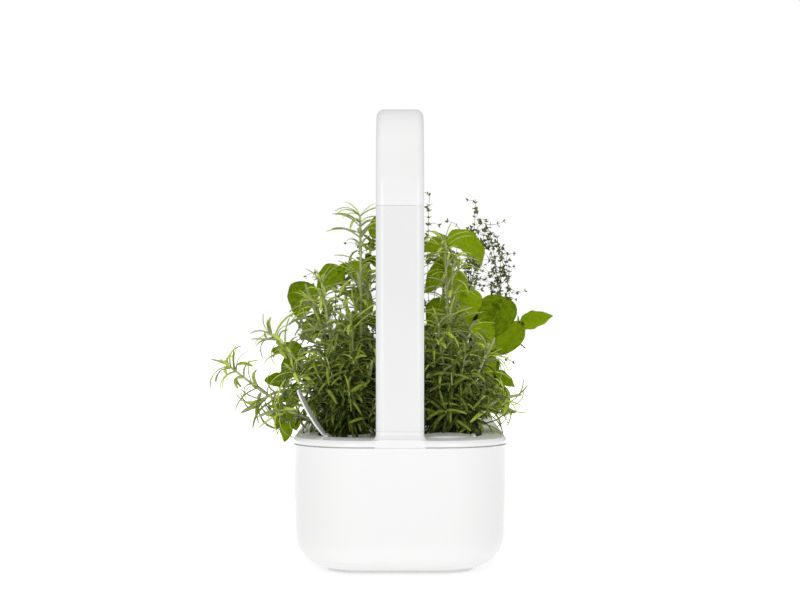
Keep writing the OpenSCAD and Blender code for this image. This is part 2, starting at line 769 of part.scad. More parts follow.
// A shoot that grows from a to c by way of b. Its radius is the stem's up to the share bare of its
// length, and past that swells to the foliage's half-width and closes at the tip.
module shoot(a, b, c, stem_r, spread, bare, sides = 8, rings = 10) {
    function girth(t) = t <= bare ? stem_r
        : stem_r * (1 - 0.7 * t) + (spread - stem_r) * pow(sin(180 * pow((t - bare) / (1 - bare), 0.8)), 0.7);
    points = [for (i = [0:rings])
        let (t = i / rings, at = bend(a, b, c, t), along = unit(heading(a, b, c, t)),
             side = unit(cross(along, [0.2, 1, 0.1])), over = cross(along, side), r = girth(t))
        for (k = [0:sides - 1])
            at + r * (cos(360 * k / sides) * side + sin(360 * k / sides) * over)];
    faces = concat(
        [[for (k = [0:sides - 1]) k]],
        [[for (k = [0:sides - 1]) rings * sides + sides - 1 - k]],
        [for (i = [0:rings - 1]) for (k = [0:sides - 1])
            let (next = (k + 1) % sides)
            [i * sides + next, i * sides + k, (i + 1) * sides + k, (i + 1) * sides + next]]
    );
    polyhedron(points, faces, convexity = 4);
}

// A flat pointed oval leaf that starts at its stalk and runs along +X.
module leaf(l, w) {
    arc_r = (l * l / 4 + w * w / 4) / w;
    translate([l / 2, 0, -0.8]) linear_extrude(1.6) intersection() {
        translate([0, arc_r - w / 2]) circle(arc_r, $fn = 96);
        translate([0, w / 2 - arc_r]) circle(arc_r, $fn = 96);
    }
}

// Each shoot is [start, turning point, tip, half-width], from the middle of the sponge's top.
rosemary_left = [
    [[12, 2, 0], [13, 0, 110], [10, 0, 204], 14],
    [[3, -4, 0], [-3, -6, 90], [-22, -6, 170], 14],
    [[-7, -5, 0], [-20, -10, 62], [-76, -12, 100], 14],
    [[-10, 3, 0], [-52, 4, 46], [-124, 0, 76], 13],
    [[-9, 10, 0], [-62, 12, 66], [-102, 14, 34], 12],
    [[2, 9, 0], [-12, 16, 70], [-36, 24, 128], 14]
];
rosemary_right = [
    [[-5, 0, 0], [-3, 2, 100], [-2, 0, 178], 14],
    [[2, -8, 0], [-2, -12, 60], [-4, -14, 104], 12],
    [[8, -5, 0], [24, -8, 60], [44, -8, 90], 13],
    [[12, 2, 0], [40, 0, 70], [62, 2, 26], 12],
    [[4, 10, 0], [20, 18, 80], [36, 24, 130], 13]
];
thyme_centre = [
    [[-6, -6, 0], [-10, -18, 90], [-8, -14, 168], 8],
    [[6, -5, 0], [14, -10, 80], [14, -22, 150], 8],
    [[-5, 7, 0], [-12, 20, 70], [-14, 30, 130], 8],
    [[6, 6, 0], [8, 24, 90], [12, 22, 176], 8]
];
thyme_left = [
    [[-6, -6, 0], [-20, -16, 90], [-45, -20, 156], 9],
    [[6, -5, 0], [2, -10, 110], [-6, -12, 196], 9],
    [[-8, 7, 0], [-40, 20, 60], [-72, 24, 110], 9],
    [[6, 6, 0], [4, 24, 100], [4, 30, 210], 9],
    [[-10, 0, 0], [-30, 4, 120], [-30, 10, 180], 9]
];
thyme_right = [
    [[-8, -6, 0], [-18, -14, 120], [-14, -18, 232], 6],
    [[8, -5, 0], [26, -10, 110], [32, -12, 230], 9],
    [[8, 7, 0], [44, 16, 90], [64, 10, 181], 9],
    [[10, 0, 0], [50, 0, 60], [72, 4, 146], 9],
    [[-4, 8, 0], [2, 26, 100], [10, 30, 206], 9]
];

// Each basil stem is [start, turning point, tip]; each leaf is [its stalk's end, turn, tilt, length].
basil_left_stems = [
    [[-4, 0, 0], [-20, 0, 60], [-38, 0, 112]],
    [[4, -6, 0], [-2, -8, 80], [-12, -6, 142]],
    [[6, 6, 0], [8, 10, 110], [14, 8, 180]],
    [[-10, 4, 0], [-36, 4, 34], [-62, 2, 22]]
];
basil_left_leaves = [
    [[-38, 0, 112], 180, 10, 36], [[-38, 0, 112], 60, -30, 30], [[-38, 0, 112], -70, -24, 32],
    [[-12, -6, 142], 200, -16, 34], [[-12, -6, 142], -40, -20, 26], [[14, 8, 180], 150, -14, 34],
    [[14, 8, 180], -90, -30, 26], [[-62, 2, 22], 170, 40, 34], [[-62, 2, 22], 240, 24, 34],
    [[-24, 0, 78], 230, -4, 36], [[-24, 0, 78], 120, -4, 36]
];
basil_centre_stems = [
    [[-5, -4, 0], [-4, -20, 90], [-2, -26, 160]],
    [[4, 5, 0], [2, 22, 80], [0, 30, 176]],
    [[0, 0, 0], [0, 2, 90], [0, 2, 150]]
];
basil_centre_leaves = [
    [[-2, -26, 160], -90, -16, 30], [[-2, -26, 160], 100, -34, 20], [[0, 30, 176], 90, -16, 30],
    [[0, 30, 176], -100, -40, 20], [[0, 2, 150], -80, 0, 30], [[0, 2, 150], 95, 10, 22]
];
basil_right_stems = [
    [[-4, 0, 0], [-6, 0, 90], [-8, 0, 172]],
    [[4, -4, 0], [16, -4, 70], [36, -4, 112]],
    [[8, 4, 0], [40, 4, 60], [70, 2, 96]],
    [[6, 8, 0], [26, 12, 46], [46, 12, 22]]
];
basil_right_leaves = [
    [[-8, 0, 172], 10, -8, 34], [[-8, 0, 172], 100, -30, 28], [[-8, 0, 172], -80, -30, 28],
    [[36, -4, 112], 20, -10, 34], [[36, -4, 112], -70, -20, 34], [[36, -4, 112], 100, -24, 30],
    [[70, 2, 96], 0, -20, 32], [[70, 2, 96], -80, 0, 32], [[70, 2, 96], 90, 10, 30],
    [[46, 12, 22], 10, 20, 34], [[46, 12, 22], 80, 0, 32], [[18, -4, 70], -60, 0, 36]
];

module shoots(list, bare) {
    for (s = list) shoot(s[0] - [0, 0, root], s[1], s[2], 1.6, s[3], bare);
}

module basil(stems, leaves) {
    for (s = stems) shoot(s[0] - [0, 0, root], s[1], s[2], 2.2, 1.8, 0.97, sides = 6, rings = 6);
    for (k = [0:len(leaves) - 1])
        let (l = leaves[k])
            translate(l[0] - [0, 0, leaf_step * (k % 3)]) rotate([0, l[2], l[1]])
                translate([-1, 0, 0]) leaf(l[3], leaf_shape * l[3]);
}

module grown(n) {
    if (n == 1) shoots(rosemary_left, 0.2);
    if (n == 2) shoots(thyme_centre, 0.1);
    if (n == 3) shoots(rosemary_right, 0.15);
    if (n == 4) basil(basil_left_stems, basil_left_leaves);
    if (n == 5) basil(basil_centre_stems, basil_centre_leaves);
    if (n == 6) basil(basil_right_stems, basil_right_leaves);
    if (n == 7) shoots(thyme_left, 0.1);
    if (n == 8) shoots(thyme_centre, 0.1);
    if (n == 9) shoots(thyme_right, 0.1);
}

// A plant stands flat on its sponge.
module plant(n) color(plant_greens[n - 1])
    at_pod(n) translate([0, 0, sponge_z]) difference() {
        grown(n);
        block([-cup_top_r, -cup_top_r, -hole_d], [cup_top_r, cup_top_r, 0]);
    }

water_tank();
foot_strips();
lid();
flap_pin();
float_pin();
power_inlet();
lid_contacts();
lid_wires();
refill_flap();
float_tongue();
float_body();
front_extension();
rear_extension();
rear_wires();
lamp_housing();
lamp_inner_cover();
lamp_window();
heat_spreader();
led_board();
light_emitters();
control_board();
button_switch();
lamp_wires();
lamp_screws();
power_button();
for (n = [1:9]) {
    cup(n);
    sponge(n);
    plant(n);
}
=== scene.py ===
"""Looks of the countertop hydroponic garden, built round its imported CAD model.

A long white water tank carries nine planted pods under an arched lamp. The plastic, metal and
electronic pieces keep their CAD shapes and get their finishes here. The herbs and the growing
sponges are new pieces that stand for the plain CAD solids in the same pods.
Lengths in the herbs' tables are in millimetres from the middle of the sponge's top.
"""

from __future__ import annotations

import logging
import math
from collections import defaultdict
from dataclasses import astuple, dataclass, field, replace
from enum import Enum

import bpy
import numpy as np
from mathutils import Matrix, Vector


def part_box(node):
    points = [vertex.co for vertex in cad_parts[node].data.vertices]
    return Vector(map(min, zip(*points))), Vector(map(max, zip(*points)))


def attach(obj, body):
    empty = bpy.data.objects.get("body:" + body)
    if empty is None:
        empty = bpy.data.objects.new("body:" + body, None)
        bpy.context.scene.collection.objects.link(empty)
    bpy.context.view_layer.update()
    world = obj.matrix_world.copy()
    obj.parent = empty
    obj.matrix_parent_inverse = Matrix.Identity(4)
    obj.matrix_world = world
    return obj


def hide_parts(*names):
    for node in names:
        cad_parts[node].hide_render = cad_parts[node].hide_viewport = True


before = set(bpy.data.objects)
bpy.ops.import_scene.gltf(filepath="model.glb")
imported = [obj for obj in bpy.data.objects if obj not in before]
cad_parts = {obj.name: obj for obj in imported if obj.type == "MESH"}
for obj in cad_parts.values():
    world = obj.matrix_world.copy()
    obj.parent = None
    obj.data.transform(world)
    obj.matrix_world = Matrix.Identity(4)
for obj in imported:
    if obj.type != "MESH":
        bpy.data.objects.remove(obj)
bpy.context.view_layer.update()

LOG = logging.getLogger("garden")
MM = 0.001
TURN = 2 * math.pi
UP = np.array([0.0, 0.0, 1.0])
NEVER_ALONG = np.array([0.2, 1.0, 0.1])  # a direction that no stem keeps to
BLADE, STEM = 0, 1  # material slots of a herb
Point = tuple[float, float, float]
Colour = tuple[float, float, float]


# ---------------------------------------------------------------- meshes


def put(name: str, data: bpy.types.ID) -> bpy.types.Object:
    """Makes a new object and links it to the scene.

    Args:
        name: its name.
        data: its mesh, light or camera.

    Returns:
        The object, at the origin.
    """
    made = bpy.data.objects.new(name, data)
    bpy.context.scene.collection.objects.link(made)
    return made


@dataclass(frozen=True)
class RingGrid:
    """Faces of a closed skin of rings along a path, with a pole at each end.

    The points are the rings in order, then the pole at the start and the pole at the end.
    """

    rings: int
    sides: int

    @property
    def points(self) -> int:
        """Number of points."""
        return self.rings * self.sides + 2

    def quads(self) -> np.ndarray:
        """Quads between neighbouring rings, turning outwards.

        Returns:
            (quads, 4) numbers of the points.
        """
        k = np.arange(self.sides)
        after = (k + 1) % self.sides
        start = (np.arange(self.rings - 1) * self.sides)[:, None]
        faces = [start + k, start + after, start + self.sides + after, start + self.sides + k]
        return np.stack(faces, -1).reshape(-1, 4)

    def fans(self) -> np.ndarray:
        """Triangles that close the skin at its two poles.

        Returns:
            (triangles, 3) numbers of the points.
        """
        k = np.arange(self.sides)
        after = (k + 1) % self.sides
        last = (self.rings - 1) * self.sides
        first_pole, last_pole = (np.full(self.sides, self.points - n) for n in (2, 1))
        return np.concatenate([
            np.stack([first_pole, after, k], -1), np.stack([last_pole, last + k, last + after], -1)
        ])


@dataclass
class MeshDraft:
    """Collects skins and writes them into one mesh, with a UV map and two attributes."""

    count: int = 0
    parts: dict[str, list[np.ndarray]] = field(default_factory=lambda: defaultdict(list))

    def add(self, grid: RingGrid, points: np.ndarray, uv: np.ndarray, tone: np.ndarray,
            face: np.ndarray, slot: int) -> None:
        """Adds copies of one skin.

        Args:
            grid: faces of a single copy.
            points: (copies, points, 3) places in metres.
            uv: (points, 2) place on the skin, the same for all copies.
            tone: (copies,) shade of each copy, 0 to 1.
            face: (points,) 1 on the upper face, 0 on the lower.
            slot: material slot of all the faces.
        """
        copies = len(points)
        offset = (self.count + np.arange(copies) * grid.points)[:, None, None]
        for kind, faces in (("quads", grid.quads()), ("fans", grid.fans())):
            self.parts[kind].append((faces[None] + offset).reshape(-1, faces.shape[1]))
            self.parts[kind + " slots"].append(np.full(copies * len(faces), slot))
        self.parts["points"].append(points.reshape(-1, 3))
        self.parts["uv"].append(np.tile(uv, (copies, 1)))
        self.parts["tone"].append(np.repeat(tone, grid.points))
        self.parts["face"].append(np.tile(face, copies))
        self.count += copies * grid.points

    def build(self, name: str) -> bpy.types.Object:
        """Writes the mesh and links its object.

        Args:
            name: name of the object and of its mesh.

        Returns:
            The object, at the origin, with its place in its mesh.
        """
        joined = {kind: np.concatenate(parts) for kind, parts in self.parts.items()}
        quads, fans = joined["quads"], joined["fans"]
        corners = np.concatenate([quads.ravel(), fans.ravel()]).astype(np.int32)
        totals = np.repeat([4, 3], [len(quads), len(fans)])
        slots = np.concatenate([joined["quads slots"], joined["fans slots"]])
        mesh = bpy.data.meshes.new(name)
        mesh.vertices.add(self.count)
        mesh.loops.add(len(corners))
        mesh.polygons.add(len(totals))
        mesh.vertices.foreach_set("co", joined["points"].astype(np.float32).ravel())
        mesh.loops.foreach_set("vertex_index", corners)
        mesh.polygons.foreach_set("loop_start", (np.cumsum(totals) - totals).astype(np.int32))
        mesh.polygons.foreach_set("material_index", slots.astype(np.int32))
        mesh.polygons.foreach_set("use_smooth", np.ones(len(totals), bool))
        uv = joined["uv"][corners].astype(np.float32)
        mesh.uv_layers.new(name="UVMap").data.foreach_set("uv", uv.ravel())
        for label in ("tone", "face"):
            layer = mesh.attributes.new(label, "FLOAT", "POINT")
            layer.data.foreach_set("value", joined[label].astype(np.float32))
        mesh.update(calc_edges=True)
        mesh.validate()
        return put(name, mesh)


def unit(vectors: np.ndarray) -> np.ndarray:
    """Vectors scaled to a length of one."""
    return vectors / np.maximum(np.linalg.norm(vectors, axis=-1, keepdims=True), 1e-9)


def square_to(along: np.ndarray) -> tuple[np.ndarray, np.ndarray]:
    """Two directions square to each given one and to each other."""
    side = unit(np.cross(along, NEVER_ALONG))
    return side, np.cross(along, side)


def skin_uv(along: np.ndarray, around: np.ndarray) -> np.ndarray:
    """UVs of a skin: u goes round or across it, v goes along it.

    Args:
        along: (rings,) place of each ring along the path, 0 to 1.
        around: (sides,) place of each side, 0 to 1.

    Returns:
        (points, 2) UVs.
    """
    rings = np.stack(np.broadcast_arrays(around[None, :], along[:, None]), -1).reshape(-1, 2)
    return np.concatenate([rings, [[0.5, 0.0], [0.5, 1.0]]])


def add_tube(draft: MeshDraft, path: np.ndarray, radius: np.ndarray, sides: int,
             tone: float) -> None:
    """Adds a round stem: circles of the given radius, square to the path, closed at both ends.

    Args:
        draft: mesh to add to.
        path: (rings, 3) middle of each circle.
        radius: (rings,) radius of each circle.
        sides: points round a circle.
        tone: shade of the stem, 0 to 1.
    """
    side, over = square_to(unit(np.gradient(path, axis=0)))
    turn = (np.arange(sides) * TURN / sides)[:, None]
    circle = np.cos(turn) * side[:, None] + np.sin(turn) * over[:, None]
    rings = path[:, None] + radius[:, None, None] * circle
    grid = RingGrid(len(path), sides)
    points = np.concatenate([rings.reshape(-1, 3), path[:1], path[-1:]])[None]
    uv = skin_uv(np.linspace(0, 1, len(path)), np.arange(sides) / sides)
    draft.add(grid, points, uv, np.array([tone]), np.full(grid.points, 0.5), STEM)


# ---------------------------------------------------------------- leaves and shoots


SWELLINGS = 5  # between the side veins of one half of a leaf
SWELLING_SLANT = 0.3  # how far forward they lie at the margin, as a share of the leaf's length
WAVES = 3  # along a leaf's margin
BOWL = 1.5  # exponent of the cup over half a leaf's width


@dataclass(frozen=True)
class LeafShape:
    """A leaf's form. Lengths are in metres, angles in radians."""

    length: float
    width: float  # as a share of the length
    thickness: float
    curl: float  # how far it bends down from stalk to tip
    cup: float  # how far its margins bend down, as a share of half its width
    pucker: float  # how far it swells between its veins, as a share of its length
    widest: float  # exponent that moves the widest place: under 1 towards the stalk
    fullness: float  # exponent of the outline: small is strap-like, 1 is pointed
    rings: int
    sides: int
    wave: float = 0.0  # how far its margins wave, as a share of its length


@dataclass
class Leaves:
    """Where each leaf of one kind grows, and how it differs from the others."""

    base: np.ndarray  # (leaves, 3) where it is attached
    forward: np.ndarray  # (leaves, 3) direction in which it starts
    normal: np.ndarray  # (leaves, 3) direction that its upper face looks in
    size: np.ndarray  # (leaves,) factor on the shape's length
    curl: np.ndarray  # (leaves,) factor on the shape's curl
    twist: np.ndarray  # (leaves,) turn about the midrib from stalk to tip
    tone: np.ndarray  # (leaves,) shade, 0 to 1
    breadth: np.ndarray  # (leaves,) factor on the shape's width
    cup: np.ndarray  # (leaves,) factor on the shape's cup, negative where margins turn up


def add_leaves(draft: MeshDraft, shape: LeafShape, leaves: Leaves) -> None:
    """Adds leaves, each a flattened closed skin round its midrib.

    The midrib is an arc of constant bend: at the share s it has gone L sin(cs)/c forwards and
    L (1 - cos(cs))/c down. Half the width there is W/2 times sin(pi s^widest)^fullness. A point
    of the section at the angle a stands cos(a) of that half-width to the side and sin(a) of half
    the thickness up. Its height gains the cup, |cos(a)|^1.5 of it at the side cos(a), the
    swelling between side veins and the wave.

    Args:
        draft: mesh to add to.
        shape: form that all the leaves share.
        leaves: where each grows, and how it differs.
    """
    base, forward, normal = leaves.base, unit(leaves.forward), leaves.normal
    normal = unit(normal - (normal * forward).sum(-1, keepdims=True) * forward)
    aside, forward, normal = np.cross(normal, forward)[:, None], forward[:, None], normal[:, None]
    grid = RingGrid(shape.rings, shape.sides)
    s = (1 - np.cos(np.pi * np.arange(1, shape.rings + 1) / (shape.rings + 1))) / 2
    angle = TURN * np.arange(shape.sides) / shape.sides
    v, up = np.cos(angle), np.sin(angle)
    length = (shape.length * leaves.size)[:, None]
    half = 0.5 * shape.width * length * np.sin(np.pi * s ** shape.widest) ** shape.fullness
    half = half * leaves.breadth[:, None]
    bend = (shape.curl * leaves.curl)[:, None]

    def midrib(share: np.ndarray) -> np.ndarray:
        """Points of the midrib.

        Args:
            share: (shares,) places on it, 0 at the stalk and 1 at the tip.

        Returns:
            (leaves, shares, 3) places.
        """
        out = share * np.sinc(bend * share / np.pi)
        down = bend * share ** 2 / 2 * np.sinc(bend * share / TURN) ** 2
        out, down = (length * out)[..., None], (length * down)[..., None]
        return base[:, None] + out * forward - down * normal

    turned, roll = (bend * s)[..., None], (leaves.twist[:, None] * s)[..., None]
    upright = np.sin(turned) * forward + np.cos(turned) * normal
    across = np.cos(roll) * aside + np.sin(roll) * upright
    above = np.cos(roll) * upright - np.sin(roll) * aside
    rib = s[:, None]
    swell = np.abs(np.sin(np.pi * SWELLINGS * (rib - SWELLING_SLANT * np.abs(v))))
    swell = swell * np.sin(np.pi * np.abs(v)) * np.sin(np.pi * rib)
    margin = np.sin(TURN * WAVES * rib) * v ** 2 * np.sign(v)
    bowl = shape.cup * leaves.cup[:, None, None] * half[..., None] * np.abs(v) ** BOWL
    height = (-bowl + length[..., None] * (shape.pucker * swell + shape.wave * margin)
              + shape.thickness / 2 * up * np.sqrt(np.sin(np.pi * rib)))
    rings = (midrib(s)[:, :, None] + (half[..., None] * v)[..., None] * across[:, :, None]
             + height[..., None] * above[:, :, None])
    points = np.concatenate([rings.reshape(len(base), -1, 3), midrib(np.array([0.0, 1.0]))], 1)
    face = np.concatenate([np.tile((up + 1) / 2, shape.rings), [0.5, 0.5]])
    draft.add(grid, points, skin_uv(s, (v + 1) / 2), leaves.tone, face, BLADE)


def arc(start: np.ndarray, turn: np.ndarray, tip: np.ndarray, count: int) -> np.ndarray:
    """Points on a curved stem: (1-t)^2 start + 2t(1-t) turn + t^2 tip.

    Args:
        start: where it starts.
        turn: the point that it bends towards.
        tip: where it ends.
        count: how many points.

    Returns:
        (count, 3) places.
    """
    t = np.linspace(0, 1, count)[:, None]
    return (1 - t) ** 2 * start + 2 * t * (1 - t) * turn + t ** 2 * tip


@dataclass(frozen=True)
class Shoot:
    """A stem that grows from start by way of turn to tip, in millimetres from its sponge's top."""

    start: Point
    turn: Point
    tip: Point
    sprouts: bool = True  # whether it has side shoots

    def path(self, origin: np.ndarray, count: int) -> np.ndarray:
        """Points on the stem, on the arc through its three places.

        Args:
            origin: middle of the sponge's top, in metres.
            count: how many points.

        Returns:
            (count, 3) places in metres.
        """
        places = np.array([self.start, self.turn, self.tip]) * MM
        return origin + arc(*places, count)


LAST_NODE = 0.985  # share of a stem at which its last leaves grow
NODE_LIMIT = 0.99  # share of a stem past which no node is shifted
NODE_SHIFT = 0.15  # deviation of a node's place, as a share of its distance to the next
NODE_TURN = 0.28  # deviation of a leaf's direction round its stem, in radians


@dataclass(frozen=True)
class Leafing:
    """How leaves or side shoots stand along a stem.

    A leaf starts at the angle rise above square to its stem. Two values are for the first leaf
    and the tip, three for the first leaf, halfway and the tip.
    """

    spacing: float  # between nodes, in metres
    first: float  # share of the stem that is bare
    per_node: int  # leaves at each node
    rise: tuple[float, float] = (0.0, 0.0)  # in radians
    size: tuple[float, float, float] = (1.0, 1.0, 1.0)  # factors on the leaf's length
    shade: tuple[float, float] = (0.0, 1.0)  # tones, 0 to 1, at the first leaf and the tip; the low one paints the shade deep in the foliage


@dataclass(frozen=True)
class Nodes:
    """Places on a stem where leaves grow, with the directions there."""

    at: np.ndarray
    along: np.ndarray
    out: np.ndarray
    share: np.ndarray

    @staticmethod
    def spread(path: np.ndarray, leafing: Leafing, rng: np.random.Generator) -> Nodes:
        """Leaf places, each node turned a right angle from the last.

        Args:
            path: points on the stem.
            leafing: how the leaves stand.
            rng: source of the small irregularities.

        Returns:
            The places, per_node for each node, from the bottom to the tip.
        """
        steps = np.linalg.norm(np.diff(path, axis=0), axis=1)
        reach = np.concatenate([[0], np.cumsum(steps)])
        first, per_node = leafing.first, leafing.per_node
        number = max(2, int(reach[-1] * (1 - first) / leafing.spacing))
        share = np.linspace(first, LAST_NODE, number)
        share = np.clip(share + rng.normal(0, NODE_SHIFT / number, number), first, NODE_LIMIT)

        def there(values: np.ndarray) -> np.ndarray:
            """Values of the path's points, carried to the nodes."""
            return np.stack([np.interp(share * reach[-1], reach, axis) for axis in values.T], -1)

        place, along = there(path), unit(there(np.gradient(path, axis=0)))
        side, over = square_to(along)
        node = np.repeat(np.arange(number), per_node)
        turn = node * math.pi / 2 + np.tile(np.arange(per_node) * TURN / per_node, number)
        turn = (turn + rng.normal(0, NODE_TURN, len(turn)))[:, None]
        out = np.cos(turn) * side[node] + np.sin(turn) * over[node]
        return Nodes(place[node], along[node], out, share[node])


# ---------------------------------------------------------------- shader nodes


class Sheet:
    """Adds nodes to a tree and wires them."""

    def __init__(self, tree: bpy.types.NodeTree) -> None:
        """Starts on an existing tree."""
        self.tree = tree

    def feed(self, node: bpy.types.Node, key: int | str, value: object) -> None:
        """Gives an input a value, or a link when the value is a socket.

        Args:
            node: node that has the input.
            key: the input's number or name.
            value: the value or the socket.
        """
        if isinstance(value, bpy.types.NodeSocket):
            self.tree.links.new(value, node.inputs[key])
        else:
            node.inputs[key].default_value = value

    def add(self, kind: str, inputs: dict | None = None, **settings: object) -> bpy.types.Node:
        """Adds a node.

        Args:
            kind: name of its type, without the ShaderNode in front.
            inputs: values or sockets for its inputs.
            **settings: its own properties.

        Returns:
            The node.
        """
        node = self.tree.nodes.new("ShaderNode" + kind)
        for key, value in settings.items():
            setattr(node, key, value)
        for key, value in (inputs or {}).items():
            self.feed(node, key, value)
        return node

    def math(self, operation: str, *values: object, clamp: bool = False) -> bpy.types.NodeSocket:
        """A math node's result."""
        inputs = dict(enumerate(values))
        return self.add("Math", inputs, operation=operation, use_clamp=clamp).outputs[0]

    def mix(self, share: object, first: object, second: object) -> bpy.types.NodeSocket:
        """A colour between two, by a share."""
        return self.add("Mix", {0: share, 6: first, 7: second}, data_type="RGBA").outputs[2]

    def remap(self, value: object, low: object, high: object, to_low: object = 0.0,
              to_high: object = 1.0) -> bpy.types.NodeSocket:
        """A value carried smoothly from one range into another and held there."""
        inputs = {0: value, 1: low, 2: high, 3: to_low, 4: to_high}
        return self.add("MapRange", inputs, interpolation_type="SMOOTHSTEP").outputs[0]

    def here(self) -> bpy.types.NodeSocket:
        """The object's own coordinates."""
        return self.add("TexCoord").outputs["Object"]

    def stretched(self, scale: object) -> bpy.types.NodeSocket:
        """The object's own coordinates, scaled along each axis."""
        return self.add("Mapping", {"Vector": self.here(), "Scale": scale}).outputs[0]

    def noise(self, scale: object, detail: float = 3.0,
              where: object = None) -> bpy.types.NodeSocket:
        """Noise at the object's own coordinates, or at the ones given."""
        inputs = {"Vector": where or self.here(), "Scale": scale, "Detail": detail}
        return self.add("TexNoise", inputs).outputs[0]

    def split(self, vector: object = None) -> bpy.types.NodeOutputs:
        """The parts of a vector, or of the UV map: across the skin and along it."""
        vector = vector or self.add("UVMap", uv_map="UVMap").outputs[0]
        return self.add("SeparateXYZ", {0: vector}).outputs

    def attribute(self, name: str) -> bpy.types.NodeSocket:
        """One of the mesh's own attributes."""
        return self.add("Attribute", attribute_name=name).outputs["Fac"]


def rgba(colour: Colour) -> tuple[float, float, float, float]:
    """A colour with full opacity."""
    return (*colour, 1.0)


class Effects:
    """Shader groups that several finishes share, each built once."""

    made: dict[str, bpy.types.NodeTree] = {}

    @classmethod
    def start(cls, name: str, inputs: dict[str, object],
              outputs: dict[str, str]) -> tuple[Sheet, bpy.types.NodeOutputs, bpy.types.Node]:
        """Makes an empty group with its sockets.

        Args:
            name: the group's name.
            inputs: default value of each input: a number, a vector of three or a colour of four.
            outputs: kind of each output.

        Returns:
            The sheet, the group's inputs and its output node.
        """
        tree = bpy.data.node_groups.new(name, "ShaderNodeTree")
        kinds = {3: "Vector", 4: "Color"}
        for label, value in inputs.items():
            kind = kinds[len(value)] if isinstance(value, tuple) else "Float"
            socket = tree.interface.new_socket(label, in_out="INPUT",
                                               socket_type="NodeSocket" + kind)
            socket.default_value = value
        for label, kind in outputs.items():
            tree.interface.new_socket(label, in_out="OUTPUT", socket_type="NodeSocket" + kind)
        cls.made[name] = tree
        into, out = (tree.nodes.new("NodeGroup" + end) for end in ("Input", "Output"))
        return Sheet(tree), into.outputs, out

    @classmethod
    def place(cls, sheet: Sheet, name: str, **inputs: object) -> bpy.types.NodeOutputs:
        """Places a group in a material, building it first if it is new.

        Args:
            sheet: the material's sheet.
            name: which group, also the name of the method that builds it.
            **inputs: values or sockets for the group's inputs.

        Returns:
            The group's outputs.
        """
        if name not in cls.made:
            getattr(cls, name)()
        return sheet.add("Group", inputs, node_tree=cls.made[name]).outputs

    @classmethod
    def mould_grain(cls) -> None:
        """Moulded skin: broad patches of gloss, where hands have been, over a fine grain."""
        sheet, into, out = cls.start(
            "mould_grain", {"Low": 0.2, "High": 0.3, "Patches": 9.0, "Scale": 900.0, "Grain": 1.0},
            {"Roughness": "Float", "Height": "Float"})
        patch = sheet.noise(into["Patches"], 4.0)
        fine = sheet.noise(into["Scale"], 2.0)
        sheet.feed(out, "Roughness", sheet.remap(patch, 0.35, 0.68, into["Low"], into["High"]))
        sheet.feed(out, "Height", sheet.math("MULTIPLY", fine, into["Grain"]))

    @classmethod
    def light_dust(cls) -> None:
        """Colour with a faint uneven film of dust and water marks on it."""
        sheet, into, out = cls.start(
            "light_dust",
            {"Colour": (1.0, 1.0, 1.0, 1.0), "Film": (0.6, 0.58, 0.52, 1.0), "Amount": 0.05},
            {"Colour": "Color"})
        cloud = sheet.remap(sheet.noise(14.0, 6.0), 0.42, 0.75)
        specks = sheet.remap(sheet.noise(420.0, 1.0), 0.7, 0.8)
        share = sheet.math("MULTIPLY", sheet.math("MAXIMUM", cloud, specks), into["Amount"])
        sheet.feed(out, "Colour", sheet.mix(share, into["Colour"], into["Film"]))

    @classmethod
    def drawn_lines(cls) -> None:
        """Fine lines along one axis, as on drawn wire, turned pins and rolled plate."""
        sheet, into, out = cls.start(
            "drawn_lines", {"Stretch": (1.0, 1.0, 1.0), "Low": 0.2, "High": 0.4},
            {"Roughness": "Float", "Height": "Float"})
        lines = sheet.noise(1.0, 3.0, sheet.stretched(into["Stretch"]))
        sheet.feed(out, "Roughness", sheet.remap(lines, 0.3, 0.7, into["Low"], into["High"]))
        sheet.feed(out, "Height", lines)

    @classmethod
    def leaf_blade(cls) -> None:
        """A leaf's colours: a tone by leaf that carries painted shade, pale midrib and side veins,
        and a paler lower face.
        """
        colours = {name: (0.2, 0.4, 0.1, 1.0) for name in ("Dark", "Light", "Under", "Rib")}
        sheet, into, out = cls.start(
            "leaf_blade",
            {**colours, "Width": 0.1, "Veins": 0.0, "Count": 5.0, "Mottle": 260.0},
            {"Colour": "Color", "Height": "Float", "Roughness": "Float"})
        uv = sheet.split()
        across = sheet.math("ABSOLUTE", sheet.math("MULTIPLY_ADD", uv[0], 2.0, -1.0))
        mottle = sheet.noise(into["Mottle"], 3.0)
        # The tone attribute carries painted shade: leaves low on their stems are darker.
        shade = sheet.math("MULTIPLY_ADD", sheet.math("SUBTRACT", mottle, 0.5), 0.7,
                           sheet.attribute("tone"), clamp=True)
        rib = sheet.remap(across, 0.0, into["Width"], 1.0, 0.0)
        slant = sheet.math("SUBTRACT", uv[1], sheet.math("MULTIPLY", across, 0.3))
        tooth = sheet.math("PINGPONG", sheet.math("MULTIPLY", slant, into["Count"]), 0.5)
        vein = sheet.math("MULTIPLY", sheet.remap(tooth, 0.0, 0.09, 1.0, 0.0), into["Veins"])
        lines = sheet.math("MAXIMUM", rib, vein, clamp=True)
        colour = sheet.mix(shade, into["Dark"], into["Light"])
        colour = sheet.mix(sheet.math("MULTIPLY", lines, 0.7), colour, into["Rib"])
        upper = sheet.remap(sheet.attribute("face"), 0.42, 0.56)
        relief = sheet.math("MULTIPLY", lines, -0.6)
        sheet.feed(out, "Colour", sheet.mix(upper, into["Under"], colour))
        sheet.feed(out, "Height", sheet.math("MULTIPLY_ADD", mottle, 0.4, relief))
        sheet.feed(out, "Roughness", sheet.remap(mottle, 0.3, 0.7, 0.4, 0.62))


# ---------------------------------------------------------------- finishes


